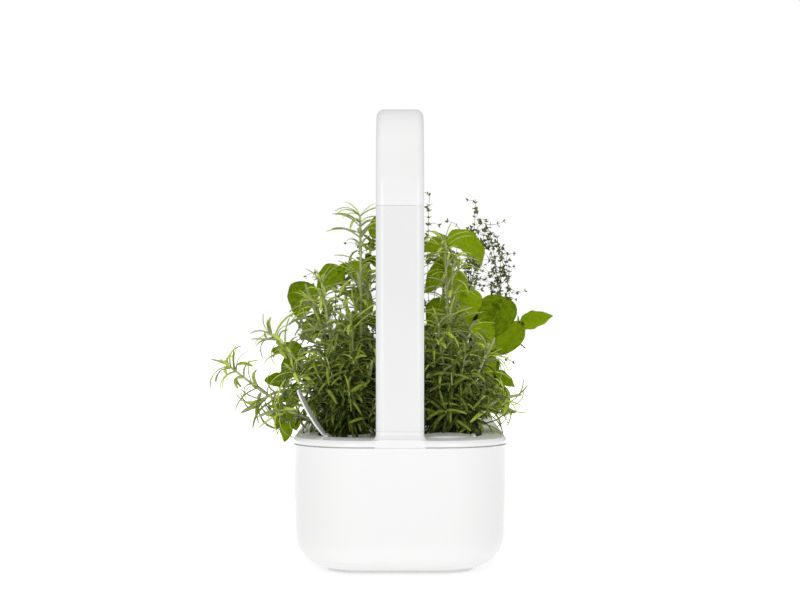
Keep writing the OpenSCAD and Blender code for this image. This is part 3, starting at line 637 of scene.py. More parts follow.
class Finish:
    """Base of the finishes: makes a material with one Principled shader and keeps it.

    In every finish low and high are its lowest and highest roughness, and depth is the depth of
    its relief in metres.
    """

    made: dict[str, bpy.types.Material] = {}
    name: str

    def paint(self, sheet: Sheet, shader: bpy.types.Node) -> None:
        """Wires this finish into the shader.

        Args:
            sheet: the material\'s sheet.
            shader: its Principled shader.
        """
        raise NotImplementedError

    def material(self) -> bpy.types.Material:
        """The finish's material, built the first time it is asked for.

        Returns:
            The material.
        """
        if self.name not in self.made:
            made = bpy.data.materials.new(self.name)
            made.use_nodes = True
            self.paint(Sheet(made.node_tree), made.node_tree.nodes["Principled BSDF"])
            self.made[self.name] = made
        return self.made[self.name]

    @staticmethod
    def wire(sheet: Sheet, shader: bpy.types.Node, colour: object, rough: object, height: object,
             depth: float) -> None:
        """Gives the shader its colour, its roughness and a bumped normal.

        Args:
            sheet: the material's sheet.
            shader: its Principled shader.
            colour: a colour, or a socket that carries one.
            rough: socket that carries the roughness.
            height: socket that carries the height, 0 to 1.
            depth: how deep a height of one is, in metres.
        """
        bump = sheet.add("Bump", {"Height": height, "Distance": depth, "Strength": 1.0})
        for key, value in (("Base Color", colour), ("Roughness", rough),
                           ("Normal", bump.outputs[0])):
            sheet.feed(shader, key, value)


@dataclass(frozen=True)
class Moulding(Finish):
    """Injection-moulded plastic or rubber."""

    name: str
    colour: Colour
    low: float
    high: float
    scale: float = 900.0
    depth: float = 0.00002
    coat: float = 0.0
    dust: float = 0.04

    def paint(self, sheet: Sheet, shader: bpy.types.Node) -> None:
        """Grain, patches of gloss and a trace of dust.

        Args:
            sheet: the material\'s sheet.
            shader: its Principled shader.
        """
        grain = Effects.place(sheet, "mould_grain", Low=self.low, High=self.high, Scale=self.scale)
        film = Effects.place(sheet, "light_dust", Colour=rgba(self.colour), Amount=self.dust)
        self.wire(sheet, shader, film[0], grain["Roughness"], grain["Height"], self.depth)
        shader.inputs["Coat Weight"].default_value = self.coat
        shader.inputs["Coat Roughness"].default_value = self.low / 2


@dataclass(frozen=True)
class DrawnMetal(Finish):
    """Metal with fine lines along its length."""

    name: str
    colour: Colour
    low: float
    high: float
    stretch: Point = (2500.0, 60.0, 2500.0)
    depth: float = 0.00001
    tarnish: float = 0.55  # how much of its colour the tarnish keeps
    amount: float = 0.25  # strength of the tarnish where it is thickest

    def paint(self, sheet: Sheet, shader: bpy.types.Node) -> None:
        """Lines in the roughness and the bump, and a little tarnish.

        Args:
            sheet: the material\'s sheet.
            shader: its Principled shader.
        """
        lines = Effects.place(sheet, "drawn_lines", Stretch=self.stretch, Low=self.low,
                              High=self.high)
        tarnish = rgba(tuple(part * self.tarnish for part in self.colour))
        film = Effects.place(sheet, "light_dust", Colour=rgba(self.colour), Film=tarnish,
                             Amount=self.amount)
        self.wire(sheet, shader, film[0], lines["Roughness"], lines["Height"], self.depth)
        shader.inputs["Metallic"].default_value = 1.0


@dataclass(frozen=True)
class FrostedSheet(Finish):
    """Clear plastic, frosted on its inner face."""

    name: str
    colour: Colour
    low: float
    high: float
    scale: float = 1500.0
    depth: float = 0.000015
    clearness: float = 0.75
    ior: float = 1.49

    def paint(self, sheet: Sheet, shader: bpy.types.Node) -> None:
        """Mostly clear, with a frosting that varies a little.

        Args:
            sheet: the material\'s sheet.
            shader: its Principled shader.
        """
        grain = Effects.place(sheet, "mould_grain", Low=self.low, High=self.high, Scale=self.scale)
        self.wire(sheet, shader, rgba(self.colour), grain["Roughness"], grain["Height"], self.depth)
        shader.inputs["Transmission Weight"].default_value = self.clearness
        shader.inputs["IOR"].default_value = self.ior


@dataclass(frozen=True)
class BoardLacquer(Finish):
    """Lacquered circuit board, with its tracks just showing through."""

    name: str
    colour: Colour
    track: Colour
    cells: float = 260.0
    depth: float = 0.00003

    def paint(self, sheet: Sheet, shader: bpy.types.Node) -> None:
        """Tracks as the edges of square cells, under a glossy lacquer.

        Args:
            sheet: the material\'s sheet.
            shader: its Principled shader.
        """
        inputs = {"Vector": sheet.stretched((1.0, 1.0, 0.0)), "Scale": self.cells}
        cells = sheet.add("TexVoronoi", inputs, feature="DISTANCE_TO_EDGE")
        track = sheet.remap(cells.outputs["Distance"], 0.06, 0.1, 1.0, 0.0)
        grain = Effects.place(sheet, "mould_grain", Low=0.22, High=0.34)
        colour = sheet.mix(track, rgba(self.colour), rgba(self.track))
        self.wire(sheet, shader, colour, grain["Roughness"], track, self.depth)


@dataclass(frozen=True)
class Foliage(Finish):
    """Leaves of one herb."""

    name: str
    dark: Colour
    light: Colour
    under: Colour
    rib: Colour
    width: float  # of the midrib, as a share of half the leaf
    veins: float  # strength of the side veins, 0 to 1
    gloss: float
    depth: float

    def paint(self, sheet: Sheet, shader: bpy.types.Node) -> None:
        """Leaf colours, veins and gloss.

        Args:
            sheet: the material\'s sheet.
            shader: its Principled shader.
        """
        blade = Effects.place(
            sheet, "leaf_blade", Dark=rgba(self.dark), Light=rgba(self.light),
            Under=rgba(self.under), Rib=rgba(self.rib), Width=self.width, Veins=self.veins)
        self.wire(sheet, shader, blade["Colour"], blade["Roughness"], blade["Height"], self.depth)
        shader.inputs["Specular IOR Level"].default_value = self.gloss


@dataclass(frozen=True)
class Bark(Finish):
    """A herb's stems, paler and greener towards the tips."""

    name: str
    low: Colour
    high: Colour
    ridges: float = 1400.0
    depth: float = 0.00015

    def paint(self, sheet: Sheet, shader: bpy.types.Node) -> None:
        """Colour along the stem, with fine ridges and specks.

        Args:
            sheet: the material\'s sheet.
            shader: its Principled shader.
        """
        specks = sheet.noise(self.ridges)
        share = sheet.math("MULTIPLY_ADD", sheet.math("SUBTRACT", specks, 0.5), 0.8,
                           sheet.split()[1], clamp=True)
        colour = sheet.mix(share, rgba(self.low), rgba(self.high))
        rough = sheet.remap(specks, 0.3, 0.7, 0.45, 0.7)
        self.wire(sheet, shader, colour, rough, specks, self.depth)


@dataclass(frozen=True)
class GrowingMedium(Finish):
    """Dark fibrous growing sponge, damp in places."""

    name: str
    dry: Colour
    damp: Colour
    depth: float = 0.001

    def paint(self, sheet: Sheet, shader: bpy.types.Node) -> None:
        """Crumbs, pores and damp patches.

        Args:
            sheet: the material\'s sheet.
            shader: its Principled shader.
        """
        pores = sheet.add("TexVoronoi", {"Vector": sheet.here(), "Scale": 650.0})
        mixed = sheet.math("MULTIPLY", sheet.noise(700.0, 6.0), pores.outputs["Distance"])
        colour = sheet.mix(sheet.remap(mixed, 0.05, 0.4), rgba(self.damp), rgba(self.dry))
        rough = sheet.remap(sheet.noise(90.0, 2.0), 0.4, 0.6, 0.55, 0.95)
        self.wire(sheet, shader, colour, rough, mixed, self.depth)


@dataclass(frozen=True)
class Phosphor(Finish):
    """The yellow face of a light emitter in its white case."""

    name: str
    yellow: Colour
    case: Colour
    face: tuple[float, float] = (0.3894, 0.3897)  # heights between which one turns to the other
    depth: float = 0.00002

    def paint(self, sheet: Sheet, shader: bpy.types.Node) -> None:
        """Yellow below, where the light leaves, and white case above.

        Args:
            sheet: the material\'s sheet.
            shader: its Principled shader.
        """
        share = sheet.remap(sheet.split(sheet.here())[2], *self.face)
        grain = Effects.place(sheet, "mould_grain", Low=0.25, High=0.4, Grain=0.5)
        colour = sheet.mix(share, rgba(self.yellow), rgba(self.case))
        self.wire(sheet, shader, colour, grain["Roughness"], grain["Height"], self.depth)


class Slot(Enum):
    """The record's material slots."""

    GLOSS_WHITE = "gloss_white"
    SATIN_WHITE = "satin_white"
    GREY_RUBBER = "grey_rubber"
    STEEL = "steel"
    BLACK_PLASTIC = "black_plastic"
    CONTACT_BRASS = "contact_brass"
    LEAD_INSULATION = "lead_insulation"
    CLEAR_WINDOW = "clear_window"
    ALUMINIUM_PLATE = "aluminium_plate"
    WHITE_BOARD = "white_board"
    EMITTER = "emitter"
    GREEN_BOARD = "green_board"
    BUTTON_GREY = "button_grey"
    GROWING_SPONGE = "growing_sponge"
    ROSEMARY = "rosemary"
    BASIL = "basil"
    THYME = "thyme"


FINISHES: dict[Slot, Finish] = {
    Slot.GLOSS_WHITE: Moulding("gloss_white_moulding", (0.875, 0.875, 0.872), 0.2, 0.27, 700.0,
                               0.000012, coat=0.35, dust=0.02),
    Slot.SATIN_WHITE: Moulding("satin_white_moulding", (0.84, 0.84, 0.825), 0.38, 0.5, 1100.0),
    Slot.GREY_RUBBER: Moulding("grey_rubber", (0.055, 0.057, 0.06), 0.62, 0.8, 1600.0, 0.00005,
                               dust=0.16),
    Slot.STEEL: DrawnMetal("drawn_steel", (0.56, 0.57, 0.58), 0.22, 0.36),
    Slot.BLACK_PLASTIC: Moulding("black_socket_plastic", (0.018, 0.018, 0.02), 0.35, 0.5, 1300.0,
                                 0.00004, dust=0.08),
    Slot.CONTACT_BRASS: DrawnMetal("contact_brass", (0.78, 0.56, 0.22), 0.2, 0.34,
                                   (2500.0, 2500.0, 90.0)),
    Slot.LEAD_INSULATION: Moulding("red_lead_insulation", (0.42, 0.035, 0.028), 0.4, 0.52, 1500.0,
                                   0.00003),
    Slot.CLEAR_WINDOW: FrostedSheet("frosted_window", (0.93, 0.95, 0.96), 0.32, 0.46),
    Slot.ALUMINIUM_PLATE: DrawnMetal("rolled_aluminium", (0.78, 0.79, 0.8), 0.25, 0.42,
                                     (1800.0, 30.0, 1800.0)),
    Slot.WHITE_BOARD: BoardLacquer("white_board_lacquer", (0.8, 0.8, 0.77), (0.7, 0.7, 0.66)),
    Slot.EMITTER: Phosphor("emitter_phosphor", (0.85, 0.62, 0.12), (0.8, 0.8, 0.78)),
    Slot.GREEN_BOARD: BoardLacquer("green_board_lacquer", (0.012, 0.13, 0.04), (0.05, 0.27, 0.09)),
    Slot.BUTTON_GREY: Moulding("button_grey_moulding", (0.55, 0.56, 0.57), 0.3, 0.42, 1200.0),
    Slot.GROWING_SPONGE: GrowingMedium("growing_sponge", (0.055, 0.036, 0.02),
                                       (0.014, 0.009, 0.006)),
    Slot.ROSEMARY: Foliage("rosemary_leaf", (0.034, 0.06, 0.01), (0.6, 0.73, 0.11),
                           (0.48, 0.54, 0.24), (0.15, 0.22, 0.02), 0.16, 0.0, 0.08, 0.0001),
    Slot.BASIL: Foliage("basil_leaf", (0.035, 0.068, 0.001), (0.27, 0.4, 0.004),
                        (0.2, 0.29, 0.006), (0.36, 0.48, 0.02), 0.05, 0.5, 0.04, 0.0005),
    Slot.THYME: Foliage("thyme_leaf", (0.025, 0.036, 0.01), (0.3, 0.36, 0.09),
                        (0.2, 0.24, 0.09), (0.16, 0.2, 0.06), 0.12, 0.0, 0.05, 0.0001),
}
# The gloss white a little darker for the two arm extensions: painted shade.
SHADED_ARM_WHITE = Moulding("arm_white_painted_shade", (0.82, 0.82, 0.818), 0.2, 0.27, 700.0, 0.000012,
                     coat=0.35, dust=0.02)
WOODY = Bark("woody_stem", (0.15, 0.15, 0.055), (0.56, 0.63, 0.28))
TENDER = Bark("tender_stem", (0.16, 0.24, 0.02), (0.34, 0.44, 0.07))
WIRY = Bark("wiry_stem", (0.08, 0.065, 0.03), (0.2, 0.23, 0.09))


# ---------------------------------------------------------------- sub-assemblies


class Assembly:
    """A sub-assembly that keeps its CAD shapes and gets its finishes here."""

    finishes: dict[str, Slot] = {}

    def dress(self) -> None:
        """Gives each CAD node of the sub-assembly its finish."""
        for name, slot in self.finishes.items():
            self.finish(name, FINISHES[slot])

    @staticmethod
    def finish(name: str, finish: Finish) -> None:
        """Gives one CAD node a finish.

        Args:
            name: the node's name.
            finish: the finish.
        """
        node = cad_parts[name]
        node.data.materials.clear()
        node.data.materials.append(finish.material())
        LOG.info("%s keeps its shape and is finished as %s", name, finish.name)


@dataclass
class Tank(Assembly):
    """The water tank and the rubber strips under its plinth."""

    finishes: dict[str, Slot] = field(default_factory=lambda: {
        "water_tank": Slot.GLOSS_WHITE, "foot_strips": Slot.GREY_RUBBER})


@dataclass
class Lid(Assembly):
    """The lid with its inlet, contacts and leads, the refill flap and the level float."""

    finishes: dict[str, Slot] = field(default_factory=lambda: {
        "lid": Slot.GLOSS_WHITE, "refill_flap": Slot.GLOSS_WHITE, "float_tongue": Slot.GLOSS_WHITE,
        "float_body": Slot.SATIN_WHITE, "flap_pin": Slot.STEEL, "float_pin": Slot.STEEL,
        "power_inlet": Slot.BLACK_PLASTIC, "lid_contacts": Slot.CONTACT_BRASS,
        "lid_wires": Slot.LEAD_INSULATION})


@dataclass
class Lamp(Assembly):
    """The two arm extensions and the lamp that stands on them."""

    finishes: dict[str, Slot] = field(default_factory=lambda: {
        "rear_wires": Slot.LEAD_INSULATION, "lamp_housing": Slot.GLOSS_WHITE,
        "lamp_inner_cover": Slot.GLOSS_WHITE, "lamp_window": Slot.CLEAR_WINDOW,
        "heat_spreader": Slot.ALUMINIUM_PLATE, "led_board": Slot.WHITE_BOARD,
        "light_emitters": Slot.EMITTER, "control_board": Slot.GREEN_BOARD,
        "button_switch": Slot.BLACK_PLASTIC, "lamp_wires": Slot.LEAD_INSULATION,
        "lamp_screws": Slot.STEEL, "power_button": Slot.BUTTON_GREY})
    arms: tuple[str, ...] = ("front_extension", "rear_extension")

    def dress(self) -> None:
        """Finishes the lamp, and gives its two arm extensions a darker copy of the gloss white, as
        painted shade.
        """
        super().dress()
        for name in self.arms:
            self.finish(name, SHADED_ARM_WHITE)


SPONGE_RIM = 0.5  # share of a sponge's profile at which its top begins
SPONGE_PROFILE = (0.0, 0.12, 0.45, SPONGE_RIM, 1.0)  # shares of its length, from below up
SPONGE_RADIUS = (0.0, 0.8, 0.985, 0.94, 0.0)  # there, as shares of the widest radius
SPONGE_HEIGHT = (0.0, 0.0, 0.985, 0.995, 0.99)  # there, as shares of the whole height


@dataclass
class Pod(Assembly):
    """One pod: its cup, its growing sponge and the middle of the sponge's top."""

    number: int
    rings: int = 26
    around: int = 44
    waves: tuple[int, ...] = (3, 5, 8, 11, 17)  # of the crumbs, in one turn round the middle
    lumps: float = 1.1 * MM  # height of the crumbs on the top
    sunk: float = 0.6  # how far they lie below the top, as a share of their height
    dents: float = 0.03  # depth of the crumbs round the side, as a share of the radius
    slant: float = 9.0  # how far a middling wave turns along the profile, in radians

    def __post_init__(self) -> None:
        """Works out the pod's place from its CAD solids."""
        self.finishes = {f"cup_{self.number}": Slot.SATIN_WHITE}
        low, high = (np.array(corner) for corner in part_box(f"sponge_{self.number}"))
        self.wide, self.tall = (high[0] - low[0]) / 2, high[2] - low[2]
        self.top = np.array([*(low + high)[:2] / 2, high[2]])

    def grow_sponge(self) -> None:
        """Makes the growing sponge, a tapered plug with a crumbly top.

        Its section is carried round the middle: along the share s of the profile it goes out over
        the bottom, up the side and in over the top. The radius and the top's height change by
        sines of several turns round the middle, so that no two crumbs are alike.
        """
        rng = np.random.default_rng(40 + self.number)
        share = np.linspace(0.02, 0.98, self.rings)
        radius = self.wide * np.interp(share, SPONGE_PROFILE, SPONGE_RADIUS)[:, None]
        height = self.tall * np.interp(share, SPONGE_PROFILE, SPONGE_HEIGHT)[:, None]
        turn, along = np.arange(self.around) * TURN / self.around, share[:, None]
        crumbs = sum(
            np.sin(wave * turn + rng.uniform(0, 6) + self.slant * along * rng.uniform(0.5, 2))
            for wave in self.waves) / len(self.waves)
        out = radius * (1 - self.dents * np.abs(crumbs))
        on_top = along > SPONGE_RIM
        up = height + np.where(on_top, crumbs - self.sunk, 0) * self.lumps
        up = np.clip(up, 0, self.tall)
        rings = np.stack([out * np.cos(turn), -out * np.sin(turn), up], -1).reshape(-1, 3)
        ends = np.array([[0, 0, 0], [0, 0, self.tall * SPONGE_HEIGHT[-1]]])
        points = np.concatenate([rings, ends])[None] + self.top - self.tall * UP
        grid = RingGrid(self.rings, self.around)
        draft = MeshDraft()
        draft.add(grid, points, skin_uv(share, turn / TURN), np.zeros(1), np.ones(grid.points), 0)
        made = draft.build(f"grown_sponge_{self.number}")
        made.data.materials.append(FINISHES[Slot.GROWING_SPONGE].material())
        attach(made, f"pod_{self.number}")
        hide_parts(f"sponge_{self.number}")
        LOG.info("%s stands for sponge_%d", made.name, self.number)


@dataclass(frozen=True)
class Variety:
    """How much the leaves of one herb differ: a deviation, or a lowest and a highest factor."""

    rise: float = 0.16  # in radians
    way: float = 0.1  # of the direction in which it starts
    size: tuple[float, float] = (0.8, 1.12)
    tone: float = 0.16
    curl: float = 0.35
    twist: float = 0.4  # in radians
    breadth: tuple[float, float] = (0.85, 1.15)
    cup: float = 0.5


@dataclass(frozen=True)
class Cushion:
    """Short leafy stems that lean out all round a herb's foot."""

    count: int
    spread: float  # how far the longest one leans out, in metres
    lean: tuple[float, float]  # lowest and highest, as shares of the spread
    rise: tuple[float, float]  # lowest and highest, in millimetres
    foot: float  # how far out it starts, as a share of its lean
    points: int
    stem: tuple[float, int]  # factor on its thickness, and points round it
    leafing: Leafing
    rim: float = 30 * MM  # a stem that leans out further starts no further out
    bend: tuple[float, float] = (0.3, 0.6)  # where it bends, as shares of its lean and rise


@dataclass
class Herb:
    """A herb in a pod. Its kinds say how its shoots carry their leaves."""

    pod: Pod
    shoots: list[Shoot]
    slot: Slot
    bark: Bark
    leaf: LeafShape
    stem: tuple[float, float]  # radius at the foot and at the tip
    variety: Variety = field(default=Variety(), kw_only=True)

    def __post_init__(self) -> None:
        """Starts the herb's mesh and its own run of random numbers."""
        self.draft = MeshDraft()
        self.rng = np.random.default_rng(100 + self.pod.number)

    def stem_along(self, path: np.ndarray, scale: float = 1.0, sides: int = 6) -> None:
        """Adds a stem that thins towards its tip.

        Args:
            path: points on the stem.
            scale: factor on its thickness.
            sides: points round it.
        """
        radius = np.linspace(*self.stem, len(path)) * scale
        add_tube(self.draft, path, radius, sides, 0.5)

    def leaves_along(self, path: np.ndarray, leafing: Leafing) -> None:
        """Adds the leaves of one stem.

        Args:
            path: points on the stem.
            leafing: how they stand on it.
        """
        nodes, rng, vary = Nodes.spread(path, leafing, self.rng), self.rng, self.variety
        share, count, first = nodes.share, len(nodes.share), leafing.first
        up = np.interp(share, [first, 1], leafing.rise) + rng.normal(0, vary.rise, count)
        cos, sin = np.cos(up)[:, None], np.sin(up)[:, None]
        forward = cos * nodes.out + sin * nodes.along + rng.normal(0, vary.way, (count, 3))
        normal = cos * nodes.along - sin * nodes.out
        size = np.interp(share, [first, (1 + first) / 2, 1], leafing.size)
        size = size * rng.uniform(*vary.size, count)
        # Painted shade: tones rise from the stem's foot to its tip, with a random spread.
        tone = np.interp(share, [first, 1], leafing.shade) + rng.normal(0, vary.tone, count)
        add_leaves(self.draft, self.leaf, Leaves(
            nodes.at, forward, normal, size, rng.normal(1, vary.curl, count),
            rng.normal(0, vary.twist, count), np.clip(tone, 0, 1),
            rng.uniform(*vary.breadth, count), rng.normal(1, vary.cup, count)))

    def thicken(self, cushion: Cushion) -> None:
        """Adds short stems that lean out all round the foot.

        Args:
            cushion: how many there are, and how they stand.
        """
        for turn in self.rng.uniform(0, TURN, cushion.count):
            out = np.array([math.cos(turn), math.sin(turn), 0.0])
            lean = self.rng.uniform(*cushion.lean) * cushion.spread
            rise = self.rng.uniform(*cushion.rise) * MM
            foot = self.pod.top + cushion.foot * min(lean, cushion.rim) * out
            bend = foot + cushion.bend[0] * lean * out + cushion.bend[1] * rise * UP
            path = arc(foot, bend, foot + lean * out + rise * UP, cushion.points)
            self.stem_along(path, *cushion.stem)
            self.leaves_along(path, cushion.leafing)

    def grow(self) -> None:
        """Adds all the herb's shoots."""
        raise NotImplementedError

    def build(self) -> None:
        """Grows the herb, writes its mesh and puts it in its pod."""
        self.grow()
        number = self.pod.number
        made = self.draft.build(f"{self.slot.value}_plant_{number}")
        for finish in (FINISHES[self.slot], self.bark):
            made.data.materials.append(finish.material())
        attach(made, f"pod_{number}")
        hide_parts(f"plant_{number}")
        triangles = len(made.data.loops) - 2 * len(made.data.polygons)
        LOG.info("%s has %d triangles", made.name, triangles)


@dataclass
class Rosemary(Herb):
    """Rosemary: shoots with long arching leaves and side shoots, and a thicket round them whose
    dark tones are painted shade.
    """

    slot: Slot = Slot.ROSEMARY
    bark: Bark = WOODY
    leaf: LeafShape = LeafShape(
        length=32 * MM, width=0.12, thickness=0.7 * MM, curl=1.4, cup=0.3, pucker=0.0, widest=0.7,
        fullness=0.32, rings=7, sides=4)
    stem: tuple[float, float] = (1.6 * MM, 1.1 * MM)
    side_spacing: float = 25 * MM
    # Tones at a shoot's foot and tip: painted shade, darker low down.
    shade: tuple[float, float] = (0.05, 0.85)
    bare_tip: float = 0.72  # share of a shoot above which it has no side shoots
    longest: float = 110 * MM  # reach above which a shoot's side shoots grow no longer
    # The thicket's low tones paint the shade among the stems at the foot.
    thicket: Cushion = Cushion(
        count=26, spread=38 * MM, lean=(0.25, 1.0), rise=(24, 84), foot=0.28, points=10,
        stem=(0.6, 5), leafing=Leafing(4.6 * MM, 0.1, 3, (0.1, 1.1), (0.75, 1.0, 0.7), (0.0, 0.25)))

    def crown(self, path: np.ndarray) -> None:
        """Adds the fan of arching leaves at a shoot's tip.

        Args:
            path: points on the shoot.
        """
        end = path[-3:]
        step = float(np.linalg.norm(end[-1] - end[0])) / len(end)
        # Light tones at the tip: the bright end of the painted shade.
        self.leaves_along(end, Leafing(step, 0.0, 3, (0.5, 1.2), (1.0, 0.95, 0.6), (0.7, 1.0)))

    def side_shoots(self, path: np.ndarray) -> None:
        """Adds side shoots in pairs, shorter towards the tip.

        Args:
            path: points on the shoot that carries them.
        """
        reach = float(np.linalg.norm(np.diff(path, axis=0), axis=1).sum())
        sprouts = Nodes.spread(path, Leafing(self.side_spacing, 0.12, 2), self.rng)
        for at, along, out, share in zip(sprouts.at, sprouts.along, sprouts.out, sprouts.share):
            if share > self.bare_tip:
                continue
            length = min(reach, self.longest) * self.rng.uniform(0.16, 0.36) * (1.1 - 0.6 * share)
            tip = at + length * unit(out + self.rng.uniform(0.5, 1.3) * along)
            side = arc(at, at + 0.55 * length * unit(out + 0.2 * along), tip, 7)
            # Side shoots low on a shoot get darker tones: painted shade.
            shade = (0.1 + 0.5 * share, 0.45 + 0.5 * share)
            leafing = Leafing(5.5 * MM, 0.15, 2, (0.4, 1.2), (0.7, 0.85, 0.55), shade)
            self.stem_along(side, 0.55, 5)
            self.leaves_along(side, leafing)

    def grow(self) -> None:
        """Adds each shoot with its leaves, crown and side shoots, then the thicket."""
        leafing = Leafing(8 * MM, 0.1, 3, (0.35, 1.0), (0.8, 1.05, 0.9), self.shade)
        for shoot in self.shoots:
            path = shoot.path(self.pod.top, 22)
            self.stem_along(path)
            self.leaves_along(path, leafing)
            self.crown(path)
            if shoot.sprouts:
                self.side_shoots(path)
        self.thicken(self.thicket)


@dataclass(frozen=True)
class BasilLeaf:
    """One large leaf: where its blade starts, points and faces, and its length.

    Places are in millimetres from the sponge's top, in the plant's own directions.
    """

    start: Point
    forward: Point
    facing: Point
    length: float  # in millimetres
    curl: float = 1.0  # factor on the shape's curl
    tone: float = 0.6  # shade, 0 to 1, which paints the leaf's light and shade
    breadth: float = 1.0  # factor on the shape's width


@dataclass
class Basil(Herb):
    """Basil: tender stems with big puckered leaves that are placed one by one."""

    slot: Slot = Slot.BASIL
    bark: Bark = TENDER
    leaf: LeafShape = LeafShape(
        length=32 * MM, width=0.64, thickness=0.5 * MM, curl=0.9, cup=0.42, pucker=0.04,
        widest=0.66, fullness=0.74, rings=14, sides=14, wave=0.025)
    stem: tuple[float, float] = (2.0 * MM, 1.2 * MM)
    blades: list[BasilLeaf] = field(default_factory=list)
    stalk: float = 0.8 * MM  # radius of a big leaf's stalk
    twist: float = 0.25  # deviation of the big leaves' twist
    cup: tuple[float, float] = (-1.2, 1.4)  # lowest and highest factor on their cup

    def stalks(self, stems: np.ndarray, start: np.ndarray, forward: np.ndarray) -> None:
        """Joins each big leaf to the nearest stem with a stalk that runs into its midrib.

        Args:
            stems: (points, 3) points on all the stems.
            start: (leaves, 3) where the blades start.
            forward: (leaves, 3) directions in which they start.
        """
        away = np.linalg.norm(start[:, None] - stems[None], axis=-1)
        radius = np.linspace(1.1, 0.8, 8) * self.stalk
        for place, way, near, gap in zip(start, forward, stems[away.argmin(1)], away.min(1)):
            path = arc(near, place - 0.45 * gap * way, place + 0.5 * MM * way, len(radius))
            add_tube(self.draft, path, radius, 6, 0.7)

    def grow(self) -> None:
        """Adds the stems with smaller leaves at their nodes, then the big leaves on stalks."""
        paths = [shoot.path(self.pod.top, 16) for shoot in self.shoots]
        # Tones rise from the foot to the tip: painted shade low on the stems.
        whole = Leafing(17 * MM, 0.12, 2, (0.2, 0.6), (0.75, 0.9, 0.45), (0.0, 0.5))
        foot = Leafing(9 * MM, 0.2, 2, (-0.1, 0.5), (0.8, 0.95, 0.9), (0.0, 0.2))
        tip = Leafing(4.5 * MM, 0.2, 2, (0.5, 1.1), (0.45, 0.4, 0.25), (0.4, 0.9))
        for path in paths:
            self.stem_along(path, 1.0, 8)
            self.leaves_along(path, whole)
            self.leaves_along(path[:9], foot)
            self.leaves_along(path[-4:], tip)
        start, forward, facing, length, curl, tone, breadth = (
            np.array(column, float) for column in zip(*map(astuple, self.blades)))
        start, forward = start * MM + self.pod.top, unit(forward)
        self.stalks(np.concatenate(paths), start, forward)
        count = len(self.blades)
        add_leaves(self.draft, self.leaf, Leaves(
            start, forward, facing, length * MM / self.leaf.length, curl,
            self.rng.normal(0, self.twist, count), tone, breadth,
            self.rng.uniform(*self.cup, count)))


@dataclass
class Thyme(Herb):
    """Thyme: thin branching stems with clusters of tiny leaves."""

    slot: Slot = Slot.THYME
    bark: Bark = WIRY
    leaf: LeafShape = LeafShape(
        length=5.4 * MM, width=0.6, thickness=0.35 * MM, curl=0.3, cup=0.12, pucker=0.0,
        widest=0.8, fullness=0.6, rings=3, sides=4)
    stem: tuple[float, float] = (0.42 * MM, 0.24 * MM)
    twigs: int = 18  # on a stem, if no part of it were bare
    # The cushion's low tones paint the shade at the herb's foot.
    cushion: Cushion = Cushion(
        count=26, spread=30 * MM, lean=(0.2, 1.0), rise=(30, 96), foot=0.3, points=12,
        stem=(1.2, 4), leafing=Leafing(2.6 * MM, 0.1, 4, (0.0, 0.8), (1.3, 1.4, 1.0), (0.0, 0.4)))

    def branch(self, path: np.ndarray) -> None:
        """Adds a stem's twigs, which rise and bend out and are shorter towards its tip.

        Args:
            path: points on the stem that carries them.
        """
        step = float(np.linalg.norm(path[-1] - path[0])) / self.twigs
        twigs = Nodes.spread(path, Leafing(step, 0.25, 1), self.rng)
        # Twig leaves darker towards the twig's foot: painted shade.
        leafing = Leafing(5.2 * MM, 0.25, 3, (0.1, 0.9), (0.6, 0.9, 0.75), (0.0, 0.6))
        for at, along, out, share in zip(twigs.at, twigs.along, twigs.out, twigs.share):
            length = self.rng.uniform(10, 34) * MM * (1.1 - 0.5 * share)
            tip = at + length * unit(out + self.rng.uniform(-0.3, 0.9) * along)
            side = arc(at, at + 0.5 * length * unit(0.5 * out + along), tip, 7)
            self.stem_along(side, 0.7, 4)
            self.leaves_along(side, leafing)

    def grow(self) -> None:
        """Adds the cushion, then each stem with its leaves and its twigs."""
        self.thicken(self.cushion)
        # Tones rise from the foot to the tip: painted shade low on the stems.
        leafing = Leafing(8 * MM, 0.12, 4, (0.1, 0.8), (0.8, 1.0, 0.8), (0.1, 0.9))
        for shoot in self.shoots:
            path = shoot.path(self.pod.top, 20)
            self.stem_along(path, 1.0, 4)
            self.leaves_along(path, leafing)
            self.branch(path)


def shoots(*rows: tuple) -> list[Shoot]:
    """Shoots from the rows of a table: start, turn, tip and whether it sprouts."""
    return [Shoot(*row) for row in rows]


def blades(*rows: tuple) -> list[BasilLeaf]:
    """Leaves from the rows of a table: start, forward, facing, length, curl, tone, breadth."""
    return [BasilLeaf(*row) for row in rows]


# The rosemary on the left in front, which leans far out over the rim.
ROSEMARY_LEFT = shoots(
    ((12, 2, 0), (14, 0, 110), (12, 0, 199)),
    ((3, -4, 0), (-12, -6, 70), (-22, -6, 138)),
    ((-7, -5, 0), (-22, -8, 50), (-69, -10, 93), False),
    ((-10, 3, 0), (-66, 4, 30), (-107, 0, 64), False),
    ((-9, 8, 0), (-54, 12, 62), (-80, 12, 26), False),
    ((2, 9, 0), (-12, 16, 70), (-32, 24, 120)),
    ((8, -8, 0), (8, -16, 60), (4, -14, 106)),
    ((-4, -8, 0), (-24, -14, 30), (-46, -16, 58)),
    ((9, 9, 0), (16, 16, 76), (20, 14, 142)),
    ((-9, -3, 0), (-40, -6, 24), (-62, -10, 24)),
    ((12, -6, 0), (18, -10, 40), (22, -10, 78)),
)
# The rosemary on the right in front.
ROSEMARY_RIGHT = shoots(
    ((-5, 0, 0), (-4, 2, 100), (-8, 0, 176)),
    ((-2, 6, 0), (-4, 8, 90), (0, 4, 160)),
    ((2, -8, 0), (-10, -12, 60), (-14, -14, 100)),
    ((8, -5, 0), (16, -8, 50), (30, -8, 74)),
    ((12, 2, 0), (36, 0, 60), (50, 2, 24), False),
    ((4, 10, 0), (10, 18, 60), (14, 24, 96)),
    ((6, -9, 0), (24, -14, 26), (42, -14, 34), False),
    ((-9, -4, 0), (-18, -8, 50), (-18, -10, 84)),
)
